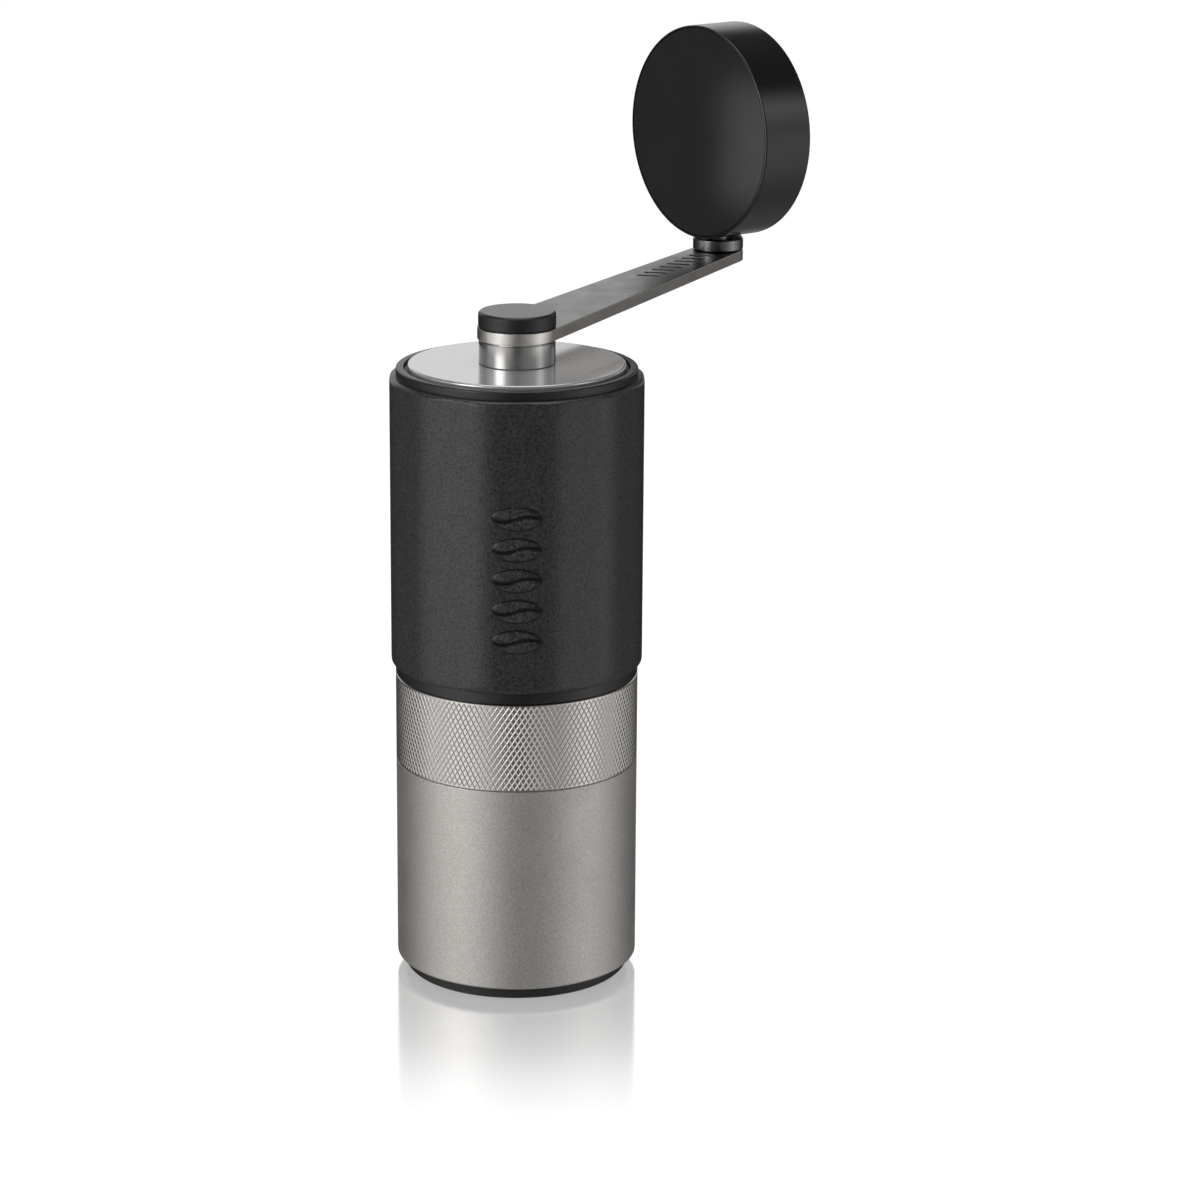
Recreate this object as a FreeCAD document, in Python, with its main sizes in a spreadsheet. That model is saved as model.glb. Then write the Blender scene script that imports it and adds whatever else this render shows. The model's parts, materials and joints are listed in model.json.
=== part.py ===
import FreeCAD, Part

import math
import os
import re

import Sketcher

# Hand crank coffee grinder, millimetres.
# Frame: the origin is the middle of the foot's underside, on the body's axis.
# +Z is up, -Y is the front (the embossed facet of the grip), and the crank rests
# at crank_azimuth, measured from +X towards +Y.

DOC = FreeCAD.newDocument("coffee_grinder")

# Driving dimensions, one spreadsheet cell each.
SIZES = {
    # outside of the body, from the foot up
    "body_radius": 26.0,
    "foot_radius": 24.0,
    "foot_height": 2.75,
    "foot_seat_radius": 21.0,
    "foot_seat_depth": 0.9,
    "cup_height": 44.5,
    "knurl_height": 19.2,
    "flange_height": 2.35,
    "sleeve_height": 62.5,
    "ring_height": 1.9,
    "plate_rise": 0.7,
    "edge_break": 0.4,
    "seam_break": 0.25,
    "seat_gap": 0.1,
    # catch cup
    "cup_inner": 23.6,
    "cup_floor": 2.4,
    "cup_cove": 1.6,
    "neck_radius": 24.8,
    "neck_height": 4.75,
    "ledge_inner": 21.6,
    "ledge_drop": 1.0,
    "ledge_thickness": 1.0,
    "gasket_inner": 21.9,
    "gasket_thickness": 0.9,
    # three-start thread between the cup and the lower housing
    "spigot_radius": 22.9,
    "thread_bore": 23.75,
    "thread_height": 0.6,
    "thread_base_width": 1.1,
    "thread_crest_width": 0.7,
    "thread_pitch": 2.5,
    "thread_starts": 3,
    "thread_root": 0.3,
    "spigot_end_gap": 0.1,
    # housing tube, top ring and sleeve
    "tube_outer": 25.0,
    "tube_inner": 23.4,
    "tube_step_radius": 24.4,
    "tube_step_height": 4.3,
    "ring_radius": 25.55,
    "ring_inner": 23.9,
    "sleeve_apothem": 26.85,
    "sleeve_corner_radius": 27.4,
    "sleeve_facets": 12,
    "shoulder_inset": 1.5,
    "shoulder_drop": 1.6,
    "hem_inset": 1.35,
    "hem_rise": 4.0,
    "hem_bend": 0.4,
    "shoulder_bend": 0.3,
    "bend_level": 0.4,
    "emblem_beans": 5,
    "emblem_width": 10.4,
    "emblem_step": 6.6,
    "emblem_bean_height": 5.2,
    "emblem_rise": 0.45,
    "emblem_middle": 93.6,
    # lower housing and burrs
    "burr_seat": 20.9,
    "burr_seat_top": 75.0,
    "burr_ledge_thickness": 2.0,
    "burr_ledge_inner": 17.6,
    "housing_collar_top": 84.0,
    "holder_bore": 21.6,
    "outer_burr_base": 57.5,
    "inner_burr_base": 58.0,
    "burr_waist": 64.0,
    "inner_burr_top": 74.5,
    "inner_burr_radius": 17.0,
    "inner_waist_radius": 14.6,
    "inner_top_radius": 8.8,
    "burr_gap": 0.5,
    "outer_mouth_radius": 16.8,
    "burr_fine_teeth": 30,
    "burr_coarse_teeth": 6,
    "fine_tooth_depth": 0.7,
    "coarse_tooth_depth": 2.4,
    "tooth_overrun": 0.1,
    "coarse_tooth_lift": 1.5,
    "coarse_foot_out": 1.0,
    "coarse_head_out": 1.6,
    "outer_coarse_lift": 2.0,
    "outer_fine_lag": 3.0,
    "outer_coarse_lag": 15.0,
    "burr_screw_circle": 19.2,
    "burr_screw_radius": 1.0,
    "burr_screw_head_radius": 1.7,
    "burr_screw_head_height": 1.5,
    "burr_screw_depth": 4.5,
    # bearing holders and bearings
    "lower_bearing_base": 77.0,
    "upper_bearing_base": 112.0,
    "holder_lip_height": 1.0,
    "holder_lip_inner": 7.0,
    "holder_hub_radius": 9.8,
    "holder_ring_height": 4.0,
    "holder_hub_above": 1.2,
    "lower_ring_inner": 17.4,
    "upper_ring_inner": 21.8,
    "holder_arm_width": 4.0,
    "holder_arms": 3,
    "holder_arm_lag": 60.0,
    "bearing_bore": 4.0,
    "bearing_outer": 8.0,
    "bearing_width": 5.0,
    "bearing_pitch": 6.0,
    "race_shoulder": 0.8,
    "race_groove": 1.25,
    "ball_radius": 1.15,
    "ball_count": 9,
    "cage_half_width": 0.45,
    "cage_height": 1.7,
    "cage_sink": 0.3,
    "cage_clearance": 0.03,
    "circlip_inner": 7.0,
    "circlip_seat": 8.3,
    "circlip_thickness": 0.7,
    "holder_screw_radius": 1.25,
    "holder_screw_length": 4.0,
    # drive shaft
    "shaft_radius": 4.0,
    "shaft_thread_radius": 3.0,
    "shaft_bottom": 46.5,
    "shaft_shoulder": 53.3,
    "shaft_flats": 6.4,
    "shaft_flats_top": 70.0,
    "shaft_hex_base": 122.0,
    "shaft_top": 130.5,
    "shaft_hex_flats": 6.9,
    "clip_thickness": 0.6,
    "clip_groove_depth": 0.4,
    "clip_width": 1.5,
    "running_clearance": 0.06,
    "washer_radius": 6.4,
    "washer_thickness": 0.8,
    # inner burr carrier, spring and dial
    "carrier_base": 53.5,
    "carrier_radius": 14.5,
    "carrier_hub_radius": 7.0,
    "carrier_hub_top": 66.0,
    "spring_seat": 68.5,
    "spring_seat_radius": 6.4,
    "spring_radius": 5.2,
    "spring_wire": 0.45,
    "spring_turns": 4.5,
    "click_plate_thickness": 0.8,
    "click_plate_inner": 8.5,
    "click_plate_outer": 13.5,
    "click_circle": 11.0,
    "click_hole_radius": 0.6,
    "click_hole_count": 24,
    "dial_gap": 0.2,
    "dial_height": 6.4,
    "dial_radius": 14.0,
    "dial_scallops": 12,
    "dial_scallop_radius": 2.2,
    "dial_scallop_reach": 15.3,
    "dial_scallop_lag": 15.0,
    "dial_nut_flats": 10.0,
    "dial_nut_height": 4.4,
    "click_well_radius": 0.85,
    "click_well_depth": 3.6,
    "click_balls": 2,
    "click_ball_radius": 0.75,
    "click_spring_wire": 0.12,
    "click_spring_turns": 6,
    # lid
    "plate_thickness": 1.4,
    "plate_radius": 23.08,
    "plate_rim_break": 0.43,
    "plug_radius": 22.9,
    "plug_flange_radius": 23.7,
    "plug_base": 125.8,
    "plug_web": 130.2,
    "plug_boss_radius": 9.4,
    "plug_wall_inner": 20.4,
    "seal_section": 0.7,
    "seal_circle": 22.5,
    "seal_level": 128.6,
    "seal_groove_half": 0.8,
    "bush_outer": 7.4,
    "bush_flange_radius": 8.8,
    "bush_flange_height": 0.8,
    "stem_radius": 6.0,
    "stem_base": 122.5,
    "stem_clip_radius": 8.0,
    # crank
    "crank_azimuth": 62.28,
    "arm_length": 100.36,
    "hub_radius": 8.1,
    "hub_lift": 0.15,
    "hub_top": 138.75,
    "hub_groove": 7.6,
    "arm_base": 139.1,
    "arm_thickness": 2.5,
    "arm_hub_radius": 8.4,
    "arm_tip_radius": 5.83,
    "tenon_flats": 9.0,
    "tenon_drop": 0.1,
    "socket_flats": 7.05,
    "socket_top": 131.0,
    "hub_screw_radius": 2.0,
    "hub_screw_base": 133.6,
    "hub_screw_head": 6.0,
    "hub_screw_head_height": 1.6,
    "hub_screw_key": 3.0,
    "hub_screw_key_depth": 1.1,
    "cap_radius": 8.2,
    "cap_height": 3.4,
    "cap_recess": 0.25,
    "cap_edge": 0.45,
    "mark_count": 8,
    "mark_spacing": 3.9,
    "mark_width": 1.5,
    "mark_length": 5.2,
    "mark_depth": 0.2,
    "mark_start": 63.5,
    "mark_slant": 20.0,
    # knob
    "knob_azimuth": 36.67,
    "knob_level": 169.3,
    "knob_radius": 24.45,
    "knob_thickness": 13.1,
    "knob_edge": 0.2,
    "knob_face_radius": 24.0,
    "knob_face_thickness": 1.2,
    "knob_core_radius": 22.4,
    "collar_radius": 5.83,
    "collar_height": 3.0,
    "collar_edge": 0.35,
    "spindle_radius": 2.5,
    "spindle_top": 168.4,
    "spindle_clip_level": 166.7,
    "knob_bush_outer": 3.6,
    "knob_bush_length": 6.0,
    "knob_bush_low": 145.8,
    "knob_bush_high": 160.5,
    "clip_pocket_width": 8.0,
    "clip_pocket_base": 166.5,
    "clip_pocket_height": 4.0,
}

# Heights and radii that follow from the driving dimensions.
DERIVED = {
    "cup_base": "foot_height",
    "cup_top": "cup_base + cup_height",
    "neck_top": "cup_top + neck_height",
    "ledge_top": "neck_top - ledge_drop",
    "flange_base": "cup_top + knurl_height",
    "sleeve_base": "flange_base + flange_height",
    "sleeve_top": "sleeve_base + sleeve_height",
    "ring_top": "sleeve_top + ring_height",
    "plate_top": "ring_top + plate_rise",
    "plate_base": "plate_top - plate_thickness",
    "plug_flange_base": "sleeve_top + seat_gap / 2",
    "spigot_end": "neck_top + spigot_end_gap",
    "knurl_top": "flange_base - seat_gap",
    "burr_ledge_top": "burr_seat_top + burr_ledge_thickness",
    "inner_race_outer": "bearing_pitch - race_shoulder",
    "outer_race_inner": "bearing_pitch + race_shoulder",
    "washer_base": "lower_bearing_base - washer_thickness",
    "shaft_clip_base": "upper_bearing_base + bearing_width + seat_gap",
    "click_plate_base": "carrier_base - click_plate_thickness",
    "dial_top": "click_plate_base - dial_gap",
    "dial_base": "dial_top - dial_height",
    "bush_base": "plug_base - bush_flange_height",
    "bush_top": "plate_top + seat_gap",
    "stem_clip_base": "bush_base - seat_gap - clip_thickness",
    "hub_base": "plate_top + hub_lift",
    "arm_top": "arm_base + arm_thickness",
    "cap_top": "arm_top + cap_height",
    "knob_x": "arm_length * cos(crank_azimuth)",
    "knob_y": "arm_length * sin(crank_azimuth)",
}

EXPRESSION_WORDS = re.compile(r"[a-z_]+")
ORIGIN = (-1, 1)
HORIZONTAL_AXIS = -1
VERTICAL_AXIS = -2
UP = FreeCAD.Vector(0, 0, 1)
SEAM_TURN = 40  # keeps the seams of two round shapes apart where one cuts the other
PRODUCTS = []


def make_sheet():
    """Keep every driving dimension in one spreadsheet, under its own alias."""
    sheet = DOC.addObject("Spreadsheet::Sheet", "Sizes")
    for row, (alias, value) in enumerate(SIZES.items(), start=1):
        sheet.set(f"A{row}", alias)
        sheet.set(f"B{row}", str(value))
        sheet.setAlias(f"B{row}", alias)
    DOC.recompute()
    return sheet


def formula(text):
    """Turn words from SIZES and DERIVED into one FreeCAD expression."""

    def expand(match):
        word = match.group(0)
        if word in SIZES:
            return f"Sizes.{word}"
        if word in DERIVED:
            return f"({formula(DERIVED[word])})"
        return word

    return EXPRESSION_WORDS.sub(expand, text)


def bind(feature, **settings):
    """Bind properties to formulas; a double underscore stands for a dot."""
    for name, text in settings.items():
        feature.setExpression(name.replace("__", "."), formula(text))
    return feature


def product(feature, label):
    """Name a finished sub-part, which is written to its own file."""
    feature.Label = label
    PRODUCTS.append(feature)
    return feature


def origin_plane(body, role):
    """Give one of the body's own origin planes."""
    return next(item for item in body.Origin.OriginFeatures if item.Role == role)


def new_sketch(body, name, role="XY_Plane", level=None):
    """Start a sketch on an origin plane, at a height above it."""
    sketch = body.newObject("Sketcher::SketchObject", name)
    sketch.AttachmentSupport = [(origin_plane(body, role), "")]
    sketch.MapMode = "FlatFace"
    if level is not None:
        bind(sketch, AttachmentOffset__Base__z=level)
    return sketch


def hold(sketch, kind, axis, geometry, text):
    """Fix one coordinate of a line's first point; "0" puts it on the axis."""
    if text == "0":
        sketch.addConstraint(Sketcher.Constraint("PointOnObject", geometry, 1, axis))
        return
    start = sketch.Geometry[geometry].StartPoint
    value = start.x if kind == "DistanceX" else start.y
    index = sketch.addConstraint(Sketcher.Constraint(kind, *ORIGIN, geometry, 1, value))
    sketch.setExpression(f"Constraints[{index}]", formula(text))


def draw_outline(sketch, outline):
    """Draw a closed outline through points given as formulas."""
    count = len(outline)
    spots = [FreeCAD.Vector(1 + index, 1 + index * index, 0) for index in range(count)]
    for index in range(count):
        sketch.addGeometry(Part.LineSegment(spots[index], spots[(index + 1) % count]))
    for index in range(count):
        following = (index + 1) % count
        sketch.addConstraint(Sketcher.Constraint("Coincident", index, 2, following, 1))
    for index, (across, along) in enumerate(outline):
        hold(sketch, "DistanceX", VERTICAL_AXIS, index, across)
        hold(sketch, "DistanceY", HORIZONTAL_AXIS, index, along)


def turned_body(name, outline):
    """Turn an outline of (radius, height) points about the Z axis."""
    body = DOC.addObject("PartDesign::Body", name)
    sketch = new_sketch(body, name + "_outline", "XZ_Plane")
    draw_outline(sketch, outline)
    turning = body.newObject("PartDesign::Revolution", name + "_turning")
    turning.Profile = sketch
    turning.ReferenceAxis = (sketch, ["V_Axis"])
    turning.Angle = 360
    sketch.Visibility = False
    return body


def turned(label, outline):
    """Make a finished sub-part that is one turned solid."""
    return product(turned_body(label, outline), label)


def ring_outline(inner, outer, base, top):
    """Give the outline of a plain ring or, with inner "0", of a disc."""
    return [(inner, base), (outer, base), (outer, top), (inner, top)]


def cylinder(name, radius, base, top):
    """Make an upright cylinder on the body's axis."""
    shape = DOC.addObject("Part::Cylinder", name)
    return bind(shape, Radius=radius, Height=f"({top}) - ({base})", Placement__Base__z=base)


def prism(name, sides, across_flats, base, top, angle="0"):
    """Make an upright regular prism of a given width across its flats."""
    shape = DOC.addObject("Part::Prism", name)
    shape.Placement.Rotation = FreeCAD.Rotation(UP, 0)
    return bind(
        shape,
        Polygon=sides,
        Circumradius=f"({across_flats}) / 2 / cos(180 / ({sides}))",
        Height=f"({top}) - ({base})",
        Placement__Base__z=base,
        Placement__Rotation__Angle=angle,
    )


def cut(name, base, tool):
    """Take one shape from another."""
    result = DOC.addObject("Part::Cut", name)
    result.Base = base
    result.Tool = tool
    return result


def fuse(name, pieces):
    """Join several shapes into one solid."""
    result = DOC.addObject("Part::MultiFuse", name)
    result.Shapes = pieces
    return result


def common(name, pieces):
    """Keep what several shapes share."""
    result = DOC.addObject("Part::MultiCommon", name)
    result.Shapes = pieces
    return result


def group(name, pieces):
    """Hold several separate solids together as one object."""
    result = DOC.addObject("Part::Compound", name)
    result.Links = pieces
    return result


def around(count, start=0.0):
    """Give the azimuths of a number of evenly spaced places, in degrees."""
    return [start + 360.0 * index / count for index in range(int(count))]


def upright_turn(azimuth):
    """Give the rotation of an azimuth in degrees about the Z axis."""
    return FreeCAD.Rotation(UP, azimuth)


def place_at(feature, radius, azimuth, level):
    """Put a feature at a radius, azimuth and height, turned to face outwards."""
    feature.Placement.Rotation = upright_turn(azimuth)
    return bind(
        feature,
        Placement__Base__x=f"({radius}) * cos({azimuth})",
        Placement__Base__y=f"({radius}) * sin({azimuth})",
        Placement__Base__z=level,
    )


# Catch cup ------------------------------------------------------------------------


def make_foot():
    """Rubber foot, bonded into a shallow seat under the cup."""
    seat_top = "cup_base + foot_seat_depth"
    turned("cup_foot", [
        ("0", "0"),
        ("foot_radius - edge_break", "0"),
        ("foot_radius", "edge_break"),
        ("foot_radius", "cup_base"),
        ("foot_seat_radius", "cup_base"),
        ("foot_seat_radius", seat_top),
        ("0", seat_top),
    ])


def make_cup():
    """Blasted aluminium cup, with a neck that the knurled ring is pressed on."""
    ledge_base = "ledge_top - ledge_thickness"
    floor_top = "cup_base + cup_floor"
    turned("catch_cup", [
        ("0", "cup_base + foot_seat_depth"),
        ("foot_seat_radius", "cup_base + foot_seat_depth"),
        ("foot_seat_radius", "cup_base"),
        ("body_radius - edge_break", "cup_base"),
        ("body_radius", "cup_base + edge_break"),
        ("body_radius", "cup_top - seam_break"),
        ("body_radius - seam_break", "cup_top"),
        ("neck_radius", "cup_top"),
        ("neck_radius", "neck_top"),
        ("cup_inner", "neck_top"),
        ("cup_inner", "ledge_top"),
        ("ledge_inner", "ledge_top"),
        ("ledge_inner", ledge_base),
        ("cup_inner", ledge_base + " - (cup_inner - ledge_inner)"),
        ("cup_inner", floor_top + " + cup_cove"),
        ("cup_inner - cup_cove", floor_top),
        ("0", floor_top),
    ])


def make_gasket():
    """Flat rubber gasket on the cup's inner ledge."""
    inner = "gasket_inner"
    outer = "cup_inner - running_clearance"
    turned("cup_gasket", ring_outline(inner, outer, "ledge_top", "ledge_top + gasket_thickness"))


def thread_ridge(name, sheet, root, crest, base, top, azimuth):
    """Sweep one start of the thread, a trapezoid along a right-hand helix."""
    lead = sheet.thread_pitch * sheet.thread_starts
    half_root = sheet.thread_base_width / 2
    half_crest = sheet.thread_crest_width / 2
    path = Part.makeHelix(lead, top - base, root)
    corners = [
        FreeCAD.Vector(root, 0, -half_root),
        FreeCAD.Vector(crest, 0, -half_crest),
        FreeCAD.Vector(crest, 0, half_crest),
        FreeCAD.Vector(root, 0, half_root),
    ]
    section = Part.makePolygon(corners + corners[:1])
    ridge = DOC.addObject("Part::Feature", name)
    ridge.Shape = Part.Wire(path.Edges).makePipeShell([section], True, True)
    turn_at_base = 360.0 * base / lead
    ridge.Placement = FreeCAD.Placement(
        FreeCAD.Vector(0, 0, base), upright_turn(azimuth + turn_at_base)
    )
    return ridge


def thread_ridges(name, sheet, root, crest, base, top, lag):
    """Sweep every start of the thread; lag is the first start's azimuth."""
    ridges = []
    for index, azimuth in enumerate(around(sheet.thread_starts, lag)):
        ridges.append(thread_ridge(f"{name}_{index}", sheet, root, crest, base, top, azimuth))
    return ridges


def make_knurled_ring(sheet):
    """Ring on the cup's neck that carries the grip pattern and the inner thread."""
    blank = turned_body("knurled_ring_blank", [
        ("neck_radius", "cup_top"),
        ("body_radius - seam_break", "cup_top"),
        ("body_radius", "cup_top + seam_break"),
        ("body_radius", "knurl_top - seam_break"),
        ("body_radius - seam_break", "knurl_top"),
        ("thread_bore", "knurl_top"),
        ("thread_bore", "neck_top"),
        ("neck_radius", "neck_top"),
    ])
    root = sheet.thread_bore + sheet.thread_root
    crest = sheet.thread_bore - sheet.thread_height
    width = sheet.thread_base_width
    neck_top = sheet.foot_height + sheet.cup_height + sheet.neck_height
    knurl_top = sheet.foot_height + sheet.cup_height + sheet.knurl_height - sheet.seat_gap
    half_pitch_turn = 180.0 / sheet.thread_starts
    ridges = thread_ridges(
        "inner_ridge", sheet, root, crest, neck_top + width, knurl_top - width, half_pitch_turn
    )
    joined = fuse("knurled_ring_joined", [blank] + ridges)
    joined.Refine = False  # merging faces would spoil the helical seams
    product(joined, "knurled_ring")


# Housing --------------------------------------------------------------------------


def make_lower_housing(sheet):
    """Black flange with the threaded spigot below it and the burr seat inside."""
    blank = turned_body("lower_housing_blank", [
        ("burr_seat", "spigot_end"),
        ("spigot_radius", "spigot_end"),
        ("spigot_radius", "flange_base"),
        ("body_radius - seam_break", "flange_base"),
        ("body_radius", "flange_base + seam_break"),
        ("body_radius", "sleeve_base"),
        ("tube_inner", "sleeve_base"),
        ("tube_inner", "housing_collar_top"),
        ("holder_bore", "housing_collar_top"),
        ("holder_bore", "burr_ledge_top"),
        ("burr_ledge_inner", "burr_ledge_top"),
        ("burr_ledge_inner", "burr_seat_top"),
        ("burr_seat", "burr_seat_top"),
    ])
    root = sheet.spigot_radius - sheet.thread_root
    crest = sheet.spigot_radius + sheet.thread_height
    width = sheet.thread_base_width
    neck_top = sheet.foot_height + sheet.cup_height + sheet.neck_height
    flange_base = sheet.foot_height + sheet.cup_height + sheet.knurl_height
    ridges = thread_ridges(
        "outer_ridge", sheet, root, crest, neck_top + width, flange_base - width, 0.0
    )
    joined = fuse("lower_housing_joined", [blank] + ridges)
    joined.Refine = False
    holes = []
    for index, azimuth in enumerate(arm_azimuths(sheet)):
        hole = cylinder(f"ledge_hole_{index}", "burr_screw_radius", "burr_seat_top", "burr_ledge_top")
        holes.append(place_at(hole, "burr_screw_circle", azimuth, "burr_seat_top"))
    product(cut("lower_housing_drilled", joined, group("ledge_holes", holes)), "lower_housing")


def arm_azimuths(sheet):
    """Azimuths of the bearing holders' arms, which leave the +X side open."""
    return around(sheet.holder_arms, sheet.holder_arm_lag)


def make_tube(sheet):
    """Steel tube that is the hopper's wall, stepped at the top for the ring."""
    step_base = "sleeve_top - tube_step_height"
    blank = turned_body("housing_tube_blank", [
        ("tube_inner", "sleeve_base"),
        ("tube_outer", "sleeve_base"),
        ("tube_outer", step_base),
        ("tube_step_radius", step_base),
        ("tube_step_radius", "sleeve_top"),
        ("tube_inner", "sleeve_top"),
    ])
    holes = group("tube_holes", radial_pins(sheet, "tube_hole", "seat_gap"))
    product(cut("housing_tube_drilled", blank, holes), "housing_tube")


def radial_pins(sheet, name, reach):
    """Radial cylinders where set screws hold the upper bearing holder in the tube."""
    screws = []
    middle = "upper_bearing_base + holder_ring_height / 2"
    for index, azimuth in enumerate(arm_azimuths(sheet)):
        screw = DOC.addObject("Part::Cylinder", f"{name}_{index}")
        bind(screw, Radius="holder_screw_radius", Height=f"holder_screw_length + ({reach})")
        place_at(screw, "tube_outer - holder_screw_length", azimuth, middle)
        screw.Placement.Rotation = upright_turn(azimuth) * FreeCAD.Rotation(FreeCAD.Vector(0, 1, 0), 90)
        screws.append(screw)
    return screws


def make_top_ring():
    """Black ring that closes the tube and the sleeve, around the lid."""
    skirt_base = "sleeve_top - tube_step_height"
    turned("top_ring", [
        ("tube_step_radius", skirt_base),
        ("tube_outer", skirt_base),
        ("tube_outer", "sleeve_top"),
        ("ring_radius", "sleeve_top"),
        ("ring_radius", "ring_top - edge_break"),
        ("ring_radius - edge_break", "ring_top"),
        ("ring_inner + seam_break", "ring_top"),
        ("ring_inner", "ring_top - seam_break"),
        ("ring_inner", "sleeve_top"),
        ("tube_step_radius", "sleeve_top"),
    ])


def make_emblem(sheet):
    """Raised column of bean shapes on the sleeve's front facet."""
    beans = []
    middle_index = (sheet.emblem_beans - 1) / 2
    for index in range(int(sheet.emblem_beans)):
        outline = DOC.addObject("Part::Ellipse", f"emblem_outline_{index}")
        outline.Placement.Rotation = FreeCAD.Rotation(FreeCAD.Vector(1, 0, 0), 90)
        bind(
            outline,
            MajorRadius="emblem_width / 2",
            MinorRadius="emblem_bean_height / 2",
            Placement__Base__y="-(sleeve_apothem - seam_break)",
            Placement__Base__z=f"emblem_middle + ({index - middle_index}) * emblem_step",
        )
        bean = DOC.addObject("Part::Extrusion", f"emblem_bean_{index}")
        bean.Base = outline
        bean.DirMode = "Custom"
        bean.Dir = FreeCAD.Vector(0, -1, 0)
        bean.Solid = True
        bind(bean, LengthFwd="emblem_rise + seam_break")
        beans.append(bean)
    return beans


def make_sleeve(sheet):
    """Twelve-sided soft sleeve with rounded corners, shoulder and hem."""
    sides = prism(
        "sleeve_sides", "sleeve_facets", "sleeve_apothem * 2", "sleeve_base", "sleeve_top",
        "180 / sleeve_facets",
    )
    hem_half = "sleeve_base + hem_rise * bend_level"
    shoulder_half = "sleeve_top - shoulder_drop * bend_level"
    limit = turned_body("sleeve_limit", [
        ("tube_outer", "sleeve_base"),
        ("sleeve_corner_radius - hem_inset", "sleeve_base"),
        ("sleeve_corner_radius - hem_inset * hem_bend", hem_half),
        ("sleeve_corner_radius", "sleeve_base + hem_rise"),
        ("sleeve_corner_radius", "sleeve_top - shoulder_drop"),
        ("sleeve_corner_radius - shoulder_inset * shoulder_bend", shoulder_half),
        ("sleeve_corner_radius - shoulder_inset", "sleeve_top"),
        ("tube_outer", "sleeve_top"),
    ])
    shell = common("sleeve_shell", [sides, limit])
    product(fuse("sleeve_embossed", [shell] + make_emblem(sheet)), "grip_sleeve")


# Bearing holders and bearings -----------------------------------------------------


def make_holder(sheet, name, base, ring_inner, ring_outer, screw_holes):
    """Three-armed holder: outer ring, arms and a hub with the bearing seat."""
    ring = cylinder(f"{name}_ring", ring_outer, base, f"{base} + holder_ring_height")
    ring_bore = cylinder(f"{name}_ring_bore", ring_inner, base, f"{base} + holder_ring_height")
    arms = []
    for index, azimuth in enumerate(arm_azimuths(sheet)):
        arm = DOC.addObject("Part::Box", f"{name}_arm_{index}")
        bind(
            arm,
            Length=f"{ring_inner} + seat_gap",
            Width="holder_arm_width",
            Height="holder_ring_height",
        )
        arm.Placement.Rotation = upright_turn(azimuth)
        bind(
            arm,
            Placement__Base__x=f"holder_arm_width / 2 * sin({azimuth})",
            Placement__Base__y=f"-holder_arm_width / 2 * cos({azimuth})",
            Placement__Base__z=base,
        )
        arms.append(arm)
    hub_top = f"{base} + bearing_width + holder_hub_above"
    hub = cylinder(f"{name}_hub", "holder_hub_radius", f"{base} - holder_lip_height", hub_top)
    lip_bore = cylinder(f"{name}_lip_bore", "holder_lip_inner", f"{base} - holder_lip_height", base)
    seat = cylinder(f"{name}_seat", "bearing_outer", base, hub_top)
    groove_base = f"{base} + bearing_width"
    groove = cylinder(
        f"{name}_groove", "circlip_seat", groove_base, f"{groove_base} + circlip_thickness"
    )
    hollow_ring = cut(f"{name}_hollow_ring", ring, ring_bore)
    joined = fuse(f"{name}_joined", [hollow_ring, hub] + arms)
    holes = group(f"{name}_holes", [lip_bore, seat, groove] + screw_holes)
    product(cut(f"{name}_bored", joined, holes), name)


def make_burr_screw_shapes(sheet, name, radius, base, top):
    """Upright cylinders on the burr screws' circle."""
    shapes = []
    for index, azimuth in enumerate(arm_azimuths(sheet)):
        shape = cylinder(f"{name}_{index}", radius, base, top)
        shapes.append(place_at(shape, "burr_screw_circle", azimuth, base))
    return shapes


def make_holders(sheet):
    """Both bearing holders and the screws that fix them."""
    lower_holes = make_burr_screw_shapes(
        sheet, "lower_holder_hole", "burr_screw_radius",
        "lower_bearing_base", "lower_bearing_base + holder_ring_height",
    )
    make_holder(
        sheet, "lower_bearing_holder", "lower_bearing_base", "lower_ring_inner", "holder_bore",
        lower_holes,
    )
    upper_holes = radial_pins(sheet, "upper_holder_hole", "seat_gap")
    make_holder(
        sheet, "upper_bearing_holder", "upper_bearing_base", "upper_ring_inner", "tube_inner",
        upper_holes,
    )
    set_screws = radial_pins(sheet, "holder_screw", "-seat_gap")
    product(group("holder_screw_group", set_screws), "holder_screws")
    head_base = "lower_bearing_base + holder_ring_height"
    shanks = make_burr_screw_shapes(
        sheet, "burr_screw_shank", "burr_screw_radius",
        "burr_seat_top - burr_screw_depth", head_base,
    )
    heads = make_burr_screw_shapes(
        sheet, "burr_screw_head", "burr_screw_head_radius",
        head_base, f"{head_base} + burr_screw_head_height",
    )
    screws = []
    for index, (shank, head) in enumerate(zip(shanks, heads)):
        screws.append(fuse(f"burr_screw_{index}", [shank, head]))
    product(group("burr_screw_group", screws), "burr_screws")


def make_races(sheet, name, base):
    """Outer and inner race of one ball bearing, with a round groove each."""
    middle = f"{base} + bearing_width / 2"
    rings = {
        "outer_race": ("outer_race_inner", "bearing_outer"),
        "inner_race": ("bearing_bore", "inner_race_outer"),
    }
    for part_name, (inner, outer) in rings.items():
        label = f"{name}_{part_name}"
        blank = turned_body(f"{label}_blank", ring_outline(inner, outer, base, f"{base} + bearing_width"))
        groove = DOC.addObject("Part::Torus", f"{label}_groove")
        groove.Placement.Rotation = upright_turn(SEAM_TURN)
        bind(groove, Radius1="bearing_pitch", Radius2="race_groove", Placement__Base__z=middle)
        product(cut(f"{label}_grooved", blank, groove), label)


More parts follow.
